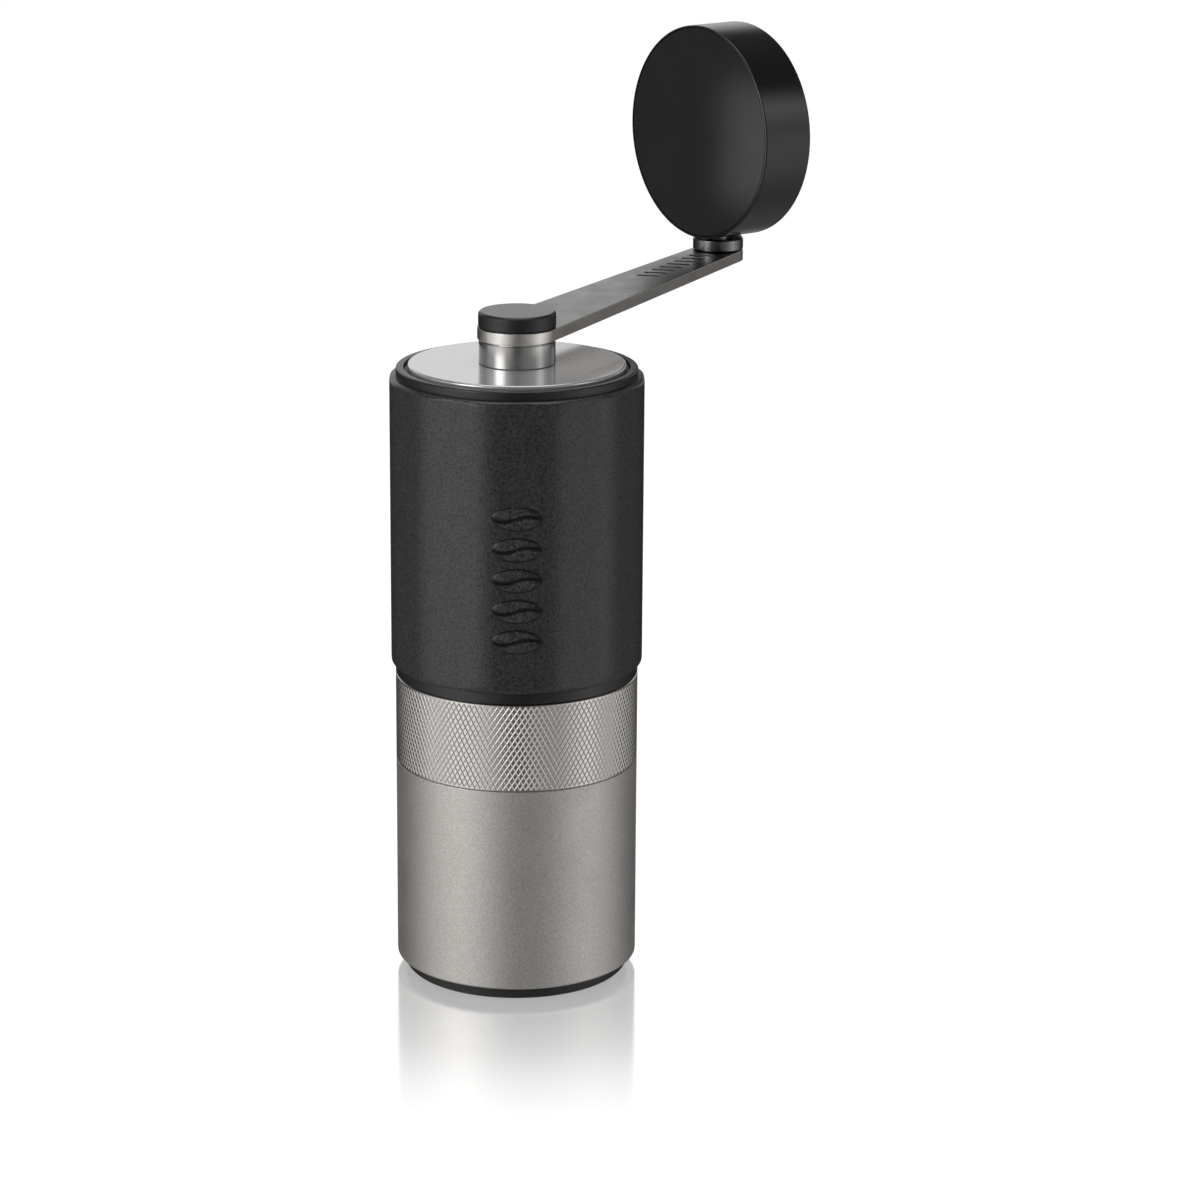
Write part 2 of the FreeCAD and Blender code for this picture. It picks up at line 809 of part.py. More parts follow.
def make_ball_set(sheet, name, base):
    """Balls and crown cage of one bearing."""
    middle = f"{base} + bearing_width / 2"

    def spheres(prefix, radius):
        shapes = []
        for index, azimuth in enumerate(around(sheet.ball_count)):
            ball = DOC.addObject("Part::Sphere", f"{name}_{prefix}_{index}")
            bind(ball, Radius=radius)
            shapes.append(place_at(ball, "bearing_pitch", azimuth, middle))
        return shapes

    product(group(f"{name}_ball_group", spheres("ball", "ball_radius")), f"{name}_balls")
    blank = turned_body(f"{name}_cage_blank", ring_outline(
        "bearing_pitch - cage_half_width",
        "bearing_pitch + cage_half_width",
        f"{middle} - cage_sink",
        f"{middle} - cage_sink + cage_height",
    ))
    pockets = group(f"{name}_pockets", spheres("pocket", "ball_radius + cage_clearance"))
    product(cut(f"{name}_cage_cut", blank, pockets), f"{name}_cage")


def make_bearing(sheet, name, base):
    """One complete ball bearing and the circlip that keeps it in its holder."""
    make_races(sheet, name, base)
    make_ball_set(sheet, name, base)
    clip_base = f"{base} + bearing_width"
    clip_top = f"{clip_base} + circlip_thickness"
    turned(f"{name}_circlip", ring_outline("circlip_inner", "circlip_seat", clip_base, clip_top))


# Burrs, carrier, spring and dial --------------------------------------------------


def tooth_tool(name, azimuth, foot, head, depth, overrun):
    """Long square bar on edge from foot to head of a cone's side, to cut a V groove."""
    slope = head - foot
    past_end = slope.Length * overrun
    direction = FreeCAD.Vector(slope)
    direction.normalize()
    side = depth * math.sqrt(2)
    bar = DOC.addObject("Part::Box", name)
    bar.Length = side
    bar.Width = side
    bar.Height = slope.Length + 2 * past_end
    lean = FreeCAD.Rotation(UP, direction)
    on_edge = FreeCAD.Rotation(UP, 45)
    start = foot - direction * past_end
    centre = FreeCAD.Vector(-side / 2, -side / 2, 0)
    local = FreeCAD.Placement(start, lean * on_edge) * FreeCAD.Placement(centre, FreeCAD.Rotation())
    bar.Placement = FreeCAD.Placement(FreeCAD.Vector(), upright_turn(azimuth)) * local
    return bar


def tooth_tools(name, sheet, azimuths, foot, head, depth):
    """A groove cutter for each tooth of a burr."""
    tools = []
    for index, azimuth in enumerate(azimuths):
        tools.append(tooth_tool(f"{name}_{index}", azimuth, foot, head, depth, sheet.tooth_overrun))
    return tools


def make_inner_burr(sheet):
    """Cone burr: coarse breaker flutes above, fine grinding teeth below."""
    blank = turned_body("inner_burr_blank", [
        ("carrier_hub_radius", "inner_burr_base"),
        ("inner_burr_radius", "inner_burr_base"),
        ("inner_waist_radius", "burr_waist"),
        ("inner_top_radius", "inner_burr_top"),
        ("spring_seat_radius", "inner_burr_top"),
        ("spring_seat_radius", "spring_seat"),
        ("shaft_radius + running_clearance", "spring_seat"),
        ("shaft_radius + running_clearance", "carrier_hub_top"),
        ("carrier_hub_radius", "carrier_hub_top"),
    ])
    fine_foot = FreeCAD.Vector(sheet.inner_burr_radius, 0, sheet.inner_burr_base)
    fine_head = FreeCAD.Vector(sheet.inner_waist_radius, 0, sheet.burr_waist)
    lift = FreeCAD.Vector(0, 0, sheet.coarse_tooth_lift)
    coarse_foot = fine_head + lift + FreeCAD.Vector(sheet.coarse_foot_out, 0, 0)
    coarse_head = lift + FreeCAD.Vector(
        sheet.inner_top_radius + sheet.coarse_head_out, 0, sheet.inner_burr_top
    )
    tools = tooth_tools(
        "inner_fine", sheet, around(sheet.burr_fine_teeth),
        fine_foot, fine_head, sheet.fine_tooth_depth,
    )
    tools += tooth_tools(
        "inner_coarse", sheet, around(sheet.burr_coarse_teeth),
        coarse_foot, coarse_head, sheet.coarse_tooth_depth,
    )
    product(cut("inner_burr_toothed", blank, group("inner_burr_tools", tools)), "inner_burr")


def make_outer_burr(sheet):
    """Ring burr around the cone burr, screwed up against the ledge."""
    blank = turned_body("outer_burr_blank", [
        ("inner_burr_radius + burr_gap", "outer_burr_base"),
        ("burr_seat", "outer_burr_base"),
        ("burr_seat", "burr_seat_top"),
        ("outer_mouth_radius", "burr_seat_top"),
        ("inner_waist_radius + burr_gap", "burr_waist"),
        ("inner_burr_radius + burr_gap", "inner_burr_base"),
    ])
    gap = FreeCAD.Vector(sheet.burr_gap, 0, 0)
    fine_foot = gap + FreeCAD.Vector(sheet.inner_burr_radius, 0, sheet.inner_burr_base)
    fine_head = gap + FreeCAD.Vector(sheet.inner_waist_radius, 0, sheet.burr_waist)
    coarse_foot = FreeCAD.Vector(
        sheet.inner_waist_radius, 0, sheet.burr_waist + sheet.outer_coarse_lift
    )
    coarse_head = FreeCAD.Vector(sheet.outer_mouth_radius, 0, sheet.burr_seat_top)
    tools = tooth_tools(
        "outer_fine", sheet, around(sheet.burr_fine_teeth, sheet.outer_fine_lag),
        fine_foot, fine_head, sheet.fine_tooth_depth,
    )
    tools += tooth_tools(
        "outer_coarse", sheet, around(sheet.burr_coarse_teeth, sheet.outer_coarse_lag),
        coarse_foot, coarse_head, sheet.coarse_tooth_depth / 2,
    )
    screw_holes = make_burr_screw_shapes(
        sheet, "outer_burr_hole", "burr_screw_radius",
        "burr_seat_top - burr_screw_depth", "burr_seat_top",
    )
    tools_group = group("outer_burr_tools", tools + screw_holes)
    product(cut("outer_burr_toothed", blank, tools_group), "outer_burr")


def flatted_bar(name, radius, across, base, top):
    """Round bar with two flats, the shaft's key."""
    bar = cylinder(f"{name}_bar", radius, base, top)
    slab = DOC.addObject("Part::Box", f"{name}_slab")
    bind(
        slab,
        Length=across,
        Width=f"({radius}) * 2",
        Height=f"({top}) - ({base})",
        Placement__Base__x=f"-({across}) / 2",
        Placement__Base__y=f"-({radius})",
        Placement__Base__z=base,
    )
    return common(name, [bar, slab])


def make_carrier():
    """Carrier under the cone burr, keyed to the shaft's flats."""
    blank = turned_body("burr_carrier_blank", [
        ("0", "carrier_base"),
        ("carrier_radius", "carrier_base"),
        ("carrier_radius", "inner_burr_base"),
        ("carrier_hub_radius", "inner_burr_base"),
        ("carrier_hub_radius", "carrier_hub_top"),
        ("0", "carrier_hub_top"),
    ])
    key = flatted_bar(
        "carrier_key", "shaft_radius + running_clearance", "shaft_flats + running_clearance * 2",
        "carrier_base", "carrier_hub_top",
    )
    product(cut("burr_carrier_keyed", blank, key), "burr_carrier")


def make_spring(sheet):
    """Compression spring between the bearing washer and the cone burr."""
    wire = sheet.spring_wire
    room = sheet.lower_bearing_base - sheet.washer_thickness - sheet.spring_seat
    spring = DOC.addObject("Part::Feature", "burr_spring_coil")
    spring.Shape = coil(sheet.spring_radius, wire, room - 4 * wire, sheet.spring_turns)
    bind(spring, Placement__Base__z="spring_seat + spring_wire * 2")
    product(spring, "burr_spring")


def coil(radius, wire, length, turns):
    """Sweep a round wire of radius wire along a helix of this length, from height 0."""
    path = Part.makeHelix(length / turns, length, radius)
    start = FreeCAD.Vector(radius, 0, 0)
    section = Part.Wire(Part.makeCircle(wire, start, FreeCAD.Vector(0, 1, 0)))
    return Part.Wire(path.Edges).makePipeShell([section], True, True)


def make_click_parts(sheet):
    """Click plate on the carrier, and the dial's spring-loaded balls."""
    blank = turned_body("click_plate_blank", ring_outline(
        "click_plate_inner", "click_plate_outer", "click_plate_base", "carrier_base"
    ))
    holes = []
    for index, azimuth in enumerate(around(sheet.click_hole_count)):
        hole = cylinder(f"click_hole_{index}", "click_hole_radius", "click_plate_base", "carrier_base")
        holes.append(place_at(hole, "click_circle", azimuth, "click_plate_base"))
    product(cut("click_plate_drilled", blank, group("click_holes", holes)), "click_plate")

    balls = []
    springs = []
    ball_level = "click_plate_base - click_ball_radius - dial_gap / 4"
    spring_room = sheet.click_well_depth - sheet.click_ball_radius * 2
    wire = sheet.click_spring_wire
    for index, azimuth in enumerate(around(sheet.click_balls)):
        ball = DOC.addObject("Part::Sphere", f"click_ball_{index}")
        bind(ball, Radius="click_ball_radius")
        balls.append(place_at(ball, "click_circle", azimuth, ball_level))
        spring = DOC.addObject("Part::Feature", f"click_spring_{index}")
        spring.Shape = coil(
            sheet.click_well_radius - 2 * wire, wire, spring_room - 4 * wire,
            sheet.click_spring_turns,
        )
        place_at(spring, "click_circle", azimuth, "dial_top - click_well_depth + click_spring_wire * 2")
        springs.append(spring)
    product(group("click_ball_group", balls), "click_balls")
    product(group("click_spring_group", springs), "click_springs")


def make_dial(sheet):
    """Grind dial with finger scallops and a threaded brass nut pressed in."""
    blank = turned_body("dial_blank", [
        ("shaft_thread_radius + running_clearance", "dial_base"),
        ("dial_radius - edge_break", "dial_base"),
        ("dial_radius", "dial_base + edge_break"),
        ("dial_radius", "dial_top - edge_break"),
        ("dial_radius - edge_break", "dial_top"),
        ("shaft_thread_radius + running_clearance", "dial_top"),
    ])
    tools = []
    for index, azimuth in enumerate(around(sheet.dial_scallops, sheet.dial_scallop_lag)):
        scallop = cylinder(f"dial_scallop_{index}", "dial_scallop_radius", "dial_base", "dial_top")
        tools.append(place_at(scallop, "dial_scallop_reach", azimuth, "dial_base"))
    for index, azimuth in enumerate(around(sheet.click_balls)):
        well_base = "dial_top - click_well_depth"
        well = cylinder(f"dial_well_{index}", "click_well_radius", well_base, "dial_top")
        tools.append(place_at(well, "click_circle", azimuth, well_base))
    tools.append(prism(
        "dial_nut_pocket", "6", "dial_nut_flats", "dial_top - dial_nut_height", "dial_top"
    ))
    product(cut("dial_shaped", blank, group("dial_tools", tools)), "adjustment_dial")
    nut = prism("dial_nut_blank", "6", "dial_nut_flats", "dial_top - dial_nut_height", "dial_top")
    bore = cylinder(
        "dial_nut_bore", "shaft_thread_radius + running_clearance",
        "dial_top - dial_nut_height", "dial_top",
    )
    product(cut("dial_nut_bored", nut, bore), "dial_nut")


# Shaft ----------------------------------------------------------------------------


def make_shaft():
    """Drive shaft: threaded end, flats for the carrier, journals and hexagon."""
    groove_radius = "shaft_radius - clip_groove_depth"
    round_part = turned_body("shaft_round", [
        ("0", "shaft_flats_top"),
        ("shaft_radius", "shaft_flats_top"),
        ("shaft_radius", "shaft_clip_base"),
        (groove_radius, "shaft_clip_base"),
        (groove_radius, "shaft_clip_base + clip_thickness"),
        ("shaft_radius", "shaft_clip_base + clip_thickness"),
        ("shaft_radius", "shaft_hex_base"),
        ("0", "shaft_hex_base"),
    ])
    threaded = cylinder("shaft_threaded", "shaft_thread_radius", "shaft_bottom", "shaft_shoulder")
    flats = flatted_bar(
        "shaft_key", "shaft_radius", "shaft_flats", "shaft_shoulder", "shaft_flats_top"
    )
    hexagon = prism("shaft_hexagon", "6", "shaft_hex_flats", "shaft_hex_base", "shaft_top")
    product(fuse("shaft_joined", [round_part, threaded, flats, hexagon]), "drive_shaft")
    turned("shaft_clip", ring_outline(
        groove_radius, "shaft_radius + clip_width", "shaft_clip_base",
        "shaft_clip_base + clip_thickness",
    ))
    turned("spring_washer", ring_outline(
        "shaft_radius", "washer_radius", "washer_base", "lower_bearing_base"
    ))


# Lid ------------------------------------------------------------------------------


def make_lid():
    """Steel lid plate on a plastic plug, with its O-ring and the hub's bush."""
    turned("lid_plate", [
        ("bush_outer", "plate_base"),
        ("plate_radius", "plate_base"),
        ("plate_radius", "plate_top - plate_rim_break"),
        ("plate_radius - plate_rim_break", "plate_top"),
        ("bush_outer", "plate_top"),
    ])
    groove_floor = "seal_circle - seal_section"
    turned("lid_plug", [
        ("bush_outer", "plug_base"),
        ("plug_boss_radius", "plug_base"),
        ("plug_boss_radius", "plug_web"),
        ("plug_wall_inner", "plug_web"),
        ("plug_wall_inner", "plug_base"),
        ("plug_radius - edge_break", "plug_base"),
        ("plug_radius", "plug_base + edge_break"),
        ("plug_radius", "seal_level - seal_groove_half"),
        (groove_floor, "seal_level - seal_groove_half"),
        (groove_floor, "seal_level + seal_groove_half"),
        ("plug_radius", "seal_level + seal_groove_half"),
        ("plug_radius", "plug_flange_base"),
        ("plug_flange_radius", "plug_flange_base"),
        ("plug_flange_radius", "plate_base"),
        ("bush_outer", "plate_base"),
    ])
    seal = DOC.addObject("Part::Torus", "lid_seal_ring")
    bind(seal, Radius1="seal_circle", Radius2="seal_section", Placement__Base__z="seal_level")
    product(seal, "lid_seal")
    bore = "stem_radius + running_clearance"
    turned("lid_bush", [
        (bore, "bush_base"),
        ("bush_flange_radius", "bush_base"),
        ("bush_flange_radius", "plug_base"),
        ("bush_outer", "plug_base"),
        ("bush_outer", "bush_top"),
        (bore, "bush_top"),
    ])


# Crank ----------------------------------------------------------------------------


def make_hub():
    """Crank hub: boss, stem through the lid, hexagon socket and top tenon."""
    groove_radius = "stem_radius - clip_groove_depth"
    tenon_top = "arm_top - tenon_drop"
    boss = turned_body("hub_boss", [
        ("0", "stem_base"),
        ("stem_radius", "stem_base"),
        ("stem_radius", "stem_clip_base"),
        (groove_radius, "stem_clip_base"),
        (groove_radius, "stem_clip_base + clip_thickness"),
        ("stem_radius", "stem_clip_base + clip_thickness"),
        ("stem_radius", "hub_base"),
        ("hub_radius", "hub_base"),
        ("hub_radius", "hub_top"),
        ("hub_groove", "hub_top"),
        ("hub_groove", "arm_base"),
        ("0", "arm_base"),
    ])
    tenon = prism("hub_tenon", "6", "tenon_flats", "arm_base", tenon_top, "crank_azimuth")
    joined = fuse("hub_joined", [boss, tenon])
    socket = prism("hub_socket", "6", "socket_flats", "stem_base", "socket_top")
    bore = cylinder("hub_bore", "hub_screw_radius", "hub_screw_base", tenon_top)
    product(cut("hub_bored", joined, group("hub_holes", [socket, bore])), "crank_hub")
    turned("hub_clip", ring_outline(
        groove_radius, "stem_clip_radius", "stem_clip_base", "stem_clip_base + clip_thickness"
    ))


def make_hub_fastening():
    """Screw that holds the arm on the tenon, and the cap that hides it."""
    head_top = "arm_top + hub_screw_head_height"
    screw = turned_body("hub_screw_blank", [
        ("0", "hub_screw_base"),
        ("hub_screw_radius", "hub_screw_base"),
        ("hub_screw_radius", "arm_top"),
        ("hub_screw_head", "arm_top"),
        ("hub_screw_head", head_top),
        ("0", head_top),
    ])
    key = prism("hub_screw_recess", "6", "hub_screw_key", f"{head_top} - hub_screw_key_depth", head_top)
    product(cut("hub_screw_keyed", screw, key), "hub_screw")
    turned("hub_cap", [
        ("hub_screw_head", "arm_top"),
        ("cap_radius - cap_recess", "arm_top"),
        ("cap_radius - cap_recess", "arm_top + cap_recess"),
        ("cap_radius", "arm_top + cap_recess"),
        ("cap_radius", "cap_top - cap_edge"),
        ("cap_radius - cap_edge", "cap_top"),
        ("0", "cap_top"),
        ("0", head_top),
        ("hub_screw_head", head_top),
    ])


def draw_arm_outline(sketch, sheet):
    """Draw two round ends joined by straight sides that are tangent to both."""
    hub = sheet.arm_hub_radius
    tip = sheet.arm_tip_radius
    length = sheet.arm_length
    lean = math.degrees(math.asin((hub - tip) / length))
    start = math.radians(90 - lean)
    centre = FreeCAD.Vector(0, 0, 0)
    far_centre = FreeCAD.Vector(length, 0, 0)
    touch = FreeCAD.Vector(math.cos(start), math.sin(start), 0)
    mirror = FreeCAD.Vector(touch.x, -touch.y, 0)
    hub_arc = Part.ArcOfCircle(Part.Circle(centre, UP, hub), start, 2 * math.pi - start)
    tip_arc = Part.ArcOfCircle(Part.Circle(far_centre, UP, tip), -start, start)
    sketch.addGeometry(hub_arc)
    sketch.addGeometry(tip_arc)
    sketch.addGeometry(Part.LineSegment(touch * hub, far_centre + touch * tip))
    sketch.addGeometry(Part.LineSegment(far_centre + mirror * tip, mirror * hub))
    sketch.addConstraint(Sketcher.Constraint("Coincident", 0, 3, *ORIGIN))
    sketch.addConstraint(Sketcher.Constraint("PointOnObject", 1, 3, HORIZONTAL_AXIS))
    sketch.addConstraint(Sketcher.Constraint("Tangent", 2, 1, 0, 1))
    sketch.addConstraint(Sketcher.Constraint("Tangent", 2, 2, 1, 2))
    sketch.addConstraint(Sketcher.Constraint("Tangent", 3, 1, 1, 1))
    sketch.addConstraint(Sketcher.Constraint("Tangent", 3, 2, 0, 2))
    spans = [
        ("arm_hub_radius", Sketcher.Constraint("Radius", 0, hub)),
        ("arm_tip_radius", Sketcher.Constraint("Radius", 1, tip)),
        ("arm_length", Sketcher.Constraint("DistanceX", *ORIGIN, 1, 3, length)),
    ]
    for alias, constraint in spans:
        index = sketch.addConstraint(constraint)
        sketch.setExpression(f"Constraints[{index}]", formula(alias))


def make_arm(sheet):
    """Tapered steel arm with a hexagon eye, a spindle hole and engraved marks."""
    body = DOC.addObject("PartDesign::Body", "arm_blank")
    sketch = new_sketch(body, "arm_outline", "XY_Plane", "arm_base")
    draw_arm_outline(sketch, sheet)
    pad = body.newObject("PartDesign::Pad", "arm_pad")
    pad.Profile = sketch
    bind(pad, Length="arm_thickness")
    sketch.Visibility = False
    eye = prism("arm_eye", "6", "tenon_flats", "arm_base", "arm_top")
    spindle_hole = cylinder("arm_spindle_hole", "spindle_radius", "arm_base", "arm_top")
    bind(spindle_hole, Placement__Base__x="arm_length")
    tools = [eye, spindle_hole]
    for index in range(int(sheet.mark_count)):
        mark = DOC.addObject("Part::Box", f"arm_mark_{index}")
        mark.Placement.Rotation = upright_turn(sheet.mark_slant)
        middle = f"mark_start + {index} * mark_spacing"
        half_across = "mark_width / 2 * cos(mark_slant) - mark_length / 2 * sin(mark_slant)"
        half_along = "mark_width / 2 * sin(mark_slant) + mark_length / 2 * cos(mark_slant)"
        bind(
            mark,
            Length="mark_width",
            Width="mark_length",
            Height="mark_depth",
            Placement__Base__x=f"{middle} - ({half_across})",
            Placement__Base__y=f"-({half_along})",
            Placement__Base__z="arm_top - mark_depth",
        )
        tools.append(mark)
    arm = cut("arm_shaped", body, group("arm_tools", tools))
    arm.Placement.Rotation = upright_turn(0)
    bind(arm, Placement__Rotation__Angle="crank_azimuth")
    product(arm, "crank_arm")


# Knob -----------------------------------------------------------------------------


def on_knob_axis(feature):
    """Move a part that was made on the body's axis to the knob's upright axis."""
    return bind(feature, Placement__Base__x="knob_x", Placement__Base__y="knob_y")


def make_spindle():
    """Upright spindle riveted into the arm, its collar and its clip."""
    groove_radius = "spindle_radius - clip_groove_depth"
    clip_top = "spindle_clip_level + clip_thickness"
    on_knob_axis(turned("knob_spindle", [
        ("0", "arm_base"),
        ("spindle_radius", "arm_base"),
        ("spindle_radius", "spindle_clip_level"),
        (groove_radius, "spindle_clip_level"),
        (groove_radius, clip_top),
        ("spindle_radius", clip_top),
        ("spindle_radius", "spindle_top"),
        ("0", "spindle_top"),
    ]))
    collar_top = "arm_top + collar_height"
    on_knob_axis(turned("knob_collar", [
        ("spindle_radius", "arm_top"),
        ("collar_radius - collar_edge", "arm_top"),
        ("collar_radius", "arm_top + collar_edge"),
        ("collar_radius", f"{collar_top} - collar_edge"),
        ("collar_radius - collar_edge", collar_top),
        ("spindle_radius", collar_top),
    ]))
    on_knob_axis(turned("knob_clip", ring_outline(
        groove_radius, "spindle_radius + clip_width / 2", "spindle_clip_level", clip_top
    )))


def knob_centre(sheet):
    """Middle of the knob's disc, straight above the end of the arm."""
    azimuth = math.radians(sheet.crank_azimuth)
    across = sheet.arm_length * math.cos(azimuth)
    along = sheet.arm_length * math.sin(azimuth)
    return FreeCAD.Vector(across, along, sheet.knob_level)


def knob_frame(sheet):
    """Placement of the knob's disc: its own Z axis lies flat, its X axis is up."""
    lying = upright_turn(sheet.knob_azimuth) * FreeCAD.Rotation(FreeCAD.Vector(1, 0, 1), 180)
    middle = FreeCAD.Vector(0, 0, -sheet.knob_thickness / 2)
    at_centre = FreeCAD.Placement(knob_centre(sheet), lying)
    return at_centre * FreeCAD.Placement(middle, FreeCAD.Rotation())


def spindle_bore(name):
    """Upright bore through the lower half of the knob, where the bushes sit."""
    bore = cylinder(name, "knob_bush_outer", "arm_top", "clip_pocket_base")
    return on_knob_axis(bore)


def make_knob(sheet):
    """Disc knob on edge: metal rim, plastic core and two soft faces."""
    frame = knob_frame(sheet)
    far_face = "knob_thickness - knob_face_thickness"
    rim = turned_body("knob_rim_blank", [
        ("knob_core_radius", "knob_face_thickness"),
        ("knob_face_radius", "knob_face_thickness"),
        ("knob_face_radius", "0"),
        ("knob_radius - knob_edge", "0"),
        ("knob_radius", "knob_edge"),
        ("knob_radius", "knob_thickness - knob_edge"),
        ("knob_radius - knob_edge", "knob_thickness"),
        ("knob_face_radius", "knob_thickness"),
        ("knob_face_radius", far_face),
        ("knob_core_radius", far_face),
    ])
    rim.Placement = frame
    product(cut("knob_rim_bored", rim, spindle_bore("rim_bore")), "knob_rim")
    core = turned_body("knob_core_blank", ring_outline(
        "0", "knob_core_radius", "knob_face_thickness", far_face
    ))
    core.Placement = frame
    pocket = DOC.addObject("Part::Box", "clip_pocket")
    bind(
        pocket,
        Length="knob_thickness / 2 + clip_pocket_width / 2",
        Width="clip_pocket_width",
        Height="clip_pocket_height",
    )
    turn = upright_turn(sheet.knob_azimuth)
    axis_point = FreeCAD.Vector(knob_centre(sheet).x, knob_centre(sheet).y, sheet.clip_pocket_base)
    half_width = sheet.clip_pocket_width / 2
    corner = turn.multVec(FreeCAD.Vector(-half_width, -half_width, 0))
    pocket.Placement = FreeCAD.Placement(axis_point + corner, turn)
    core_tools = group("knob_core_tools", [spindle_bore("core_bore"), pocket])
    product(cut("knob_core_bored", core, core_tools), "knob_core")
    front = turned("knob_face_front", ring_outline(
        "0", "knob_face_radius", "0", "knob_face_thickness"
    ))
    front.Placement = frame
    rear = turned("knob_face_rear", ring_outline(
        "0", "knob_face_radius", far_face, "knob_thickness"
    ))
    rear.Placement = frame
    bushes = []
    for name, base_word in (("low", "knob_bush_low"), ("high", "knob_bush_high")):
        bush = turned_body(f"knob_bush_{name}", ring_outline(
            "spindle_radius + running_clearance", "knob_bush_outer",
            base_word, f"{base_word} + knob_bush_length",
        ))
        bushes.append(on_knob_axis(bush))
    product(group("knob_bush_group", bushes), "knob_bushes")


def check_and_write():
    """Stop on any failed feature, then write each sub-part to its own file."""
    faults = []
    for item in DOC.Objects:
        for state in ("Invalid", "Error"):
            if state in item.State:
                faults.append(f"{item.Name} is {state}")
    for item in PRODUCTS:
        if item.Shape.isNull() or not item.Shape.isValid() or not item.Shape.Solids:
            faults.append(f"{item.Label} has no valid solid")
    if faults:
        raise RuntimeError("; ".join(faults))
    os.makedirs("parts", exist_ok=True)
    for item in PRODUCTS:
        item.Shape.exportStep(f"parts/{item.Label}.step")
        box = item.Shape.BoundBox
        print(
            f"{item.Label:26s} {len(item.Shape.Solids):2d} solids {item.Shape.Volume:10.1f} mm3"
            f"  z {box.ZMin:7.2f} to {box.ZMax:7.2f}"
        )


def main():
    sheet = make_sheet()
    make_foot()
    make_cup()
    make_gasket()
    make_knurled_ring(sheet)
    make_lower_housing(sheet)
    make_tube(sheet)
    make_top_ring()
    make_sleeve(sheet)
    make_holders(sheet)
    make_bearing(sheet, "lower_bearing", "lower_bearing_base")
    make_bearing(sheet, "upper_bearing", "upper_bearing_base")
    make_outer_burr(sheet)
    make_inner_burr(sheet)
    make_carrier()
    make_spring(sheet)
    make_click_parts(sheet)
    make_dial(sheet)
    make_shaft()
    make_lid()
    make_hub()
    make_hub_fastening()
    make_arm(sheet)
    make_spindle()
    make_knob(sheet)
    DOC.recompute()
    check_and_write()


main()
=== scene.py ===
"""Looks of a hand coffee grinder: detailed pieces, materials, light, floor and camera.

Lengths are in millimetres in the tables and functions below, and are turned into metres
where a mesh or an object is made.
"""

import json
import math

import bmesh
import bpy
from mathutils import Matrix, Vector


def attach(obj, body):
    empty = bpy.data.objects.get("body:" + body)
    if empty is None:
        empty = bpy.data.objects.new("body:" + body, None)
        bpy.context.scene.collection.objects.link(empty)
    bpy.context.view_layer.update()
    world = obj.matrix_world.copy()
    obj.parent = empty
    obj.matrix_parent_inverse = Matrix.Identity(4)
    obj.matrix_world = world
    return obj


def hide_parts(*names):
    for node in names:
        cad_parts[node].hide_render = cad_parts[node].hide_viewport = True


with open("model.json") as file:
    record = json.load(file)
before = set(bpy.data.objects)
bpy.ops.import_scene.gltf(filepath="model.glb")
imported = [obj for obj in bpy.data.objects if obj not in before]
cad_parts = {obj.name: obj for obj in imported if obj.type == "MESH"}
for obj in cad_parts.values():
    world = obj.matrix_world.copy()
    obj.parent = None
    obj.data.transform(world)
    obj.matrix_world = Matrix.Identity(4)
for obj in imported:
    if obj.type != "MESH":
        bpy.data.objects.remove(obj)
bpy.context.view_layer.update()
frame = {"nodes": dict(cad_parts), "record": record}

MM = 0.001
ROUND_STEPS = 5
TURNED_STEPS = 240

# Driving sizes: heights are above the floor, and radii are from the grinder's axis.
BODY_RADIUS = 26.0
CUP_BASE = 2.75
CUP_TOP = 47.25
CUP_BORE = 23.6
NECK_TOP = 52.0
NECK_RADIUS = 24.8
KNURL_TOP = 66.35
SLEEVE_BASE = 68.8
SLEEVE_TOP = 131.3
SLEEVE_APOTHEM = 26.85
SLEEVE_FACETS = 12
TUBE_OUTER = 25.0
BEAN_RISE = 0.43
ARM_TOP = 141.6
CAP_TOP = 145.0
CRANK_TURN = math.radians(62.28)


# Mesh helpers ---------------------------------------------------------------------


def rounded(corners):
    """Turn corners (across, up, radius) of a closed outline into points with round corners."""
    points = []
    count = len(corners)
    for index, (across, up, radius) in enumerate(corners):
        corner = Vector((across, up))
        if not radius:
            points.append(corner)
            continue
        before = Vector(corners[index - 1][:2]) - corner
        after = Vector(corners[(index + 1) % count][:2]) - corner
        half = before.angle(after) / 2
        reach = radius / math.tan(half)
        start = corner + before.normalized() * reach
        end = corner + after.normalized() * reach
        bisector = (before.normalized() + after.normalized()).normalized()
        centre = corner + bisector * radius / math.sin(half)
        first = start - centre
        turn = first.angle_signed(end - centre)
        for step in range(ROUND_STEPS + 1):
            spun = first.copy()
            spun.rotate(Matrix.Rotation(-turn * step / ROUND_STEPS, 2))
            points.append(centre + spun)
    return points


def add_piece(name, mesh, body, material, nodes=()):
    """Put a finished mesh in the scene as a piece that rides on a body."""
    piece = bpy.data.objects.new(name, mesh)
    bpy.context.scene.collection.objects.link(piece)
    mesh.materials.append(material)
    piece.modifiers.new("soft_normals", "WEIGHTED_NORMAL").keep_sharp = True
    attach(piece, body)
    if nodes:
        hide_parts(*nodes)
    return piece


def mesh_from(name, build, sharp_degrees=32):
    """Make a mesh with a bmesh builder; edges sharper than the angle stay crisp."""
    shape = bmesh.new()
    build(shape)
    bmesh.ops.remove_doubles(shape, verts=shape.verts, dist=1e-7)
    bmesh.ops.recalc_face_normals(shape, faces=shape.faces)
    limit = math.radians(sharp_degrees)
    for edge in shape.edges:
        edge.smooth = len(edge.link_faces) == 2 and edge.calc_face_angle() < limit
    for face in shape.faces:
        face.smooth = True
    mesh = bpy.data.meshes.new(name)
    shape.to_mesh(mesh)
    shape.free()
    return mesh


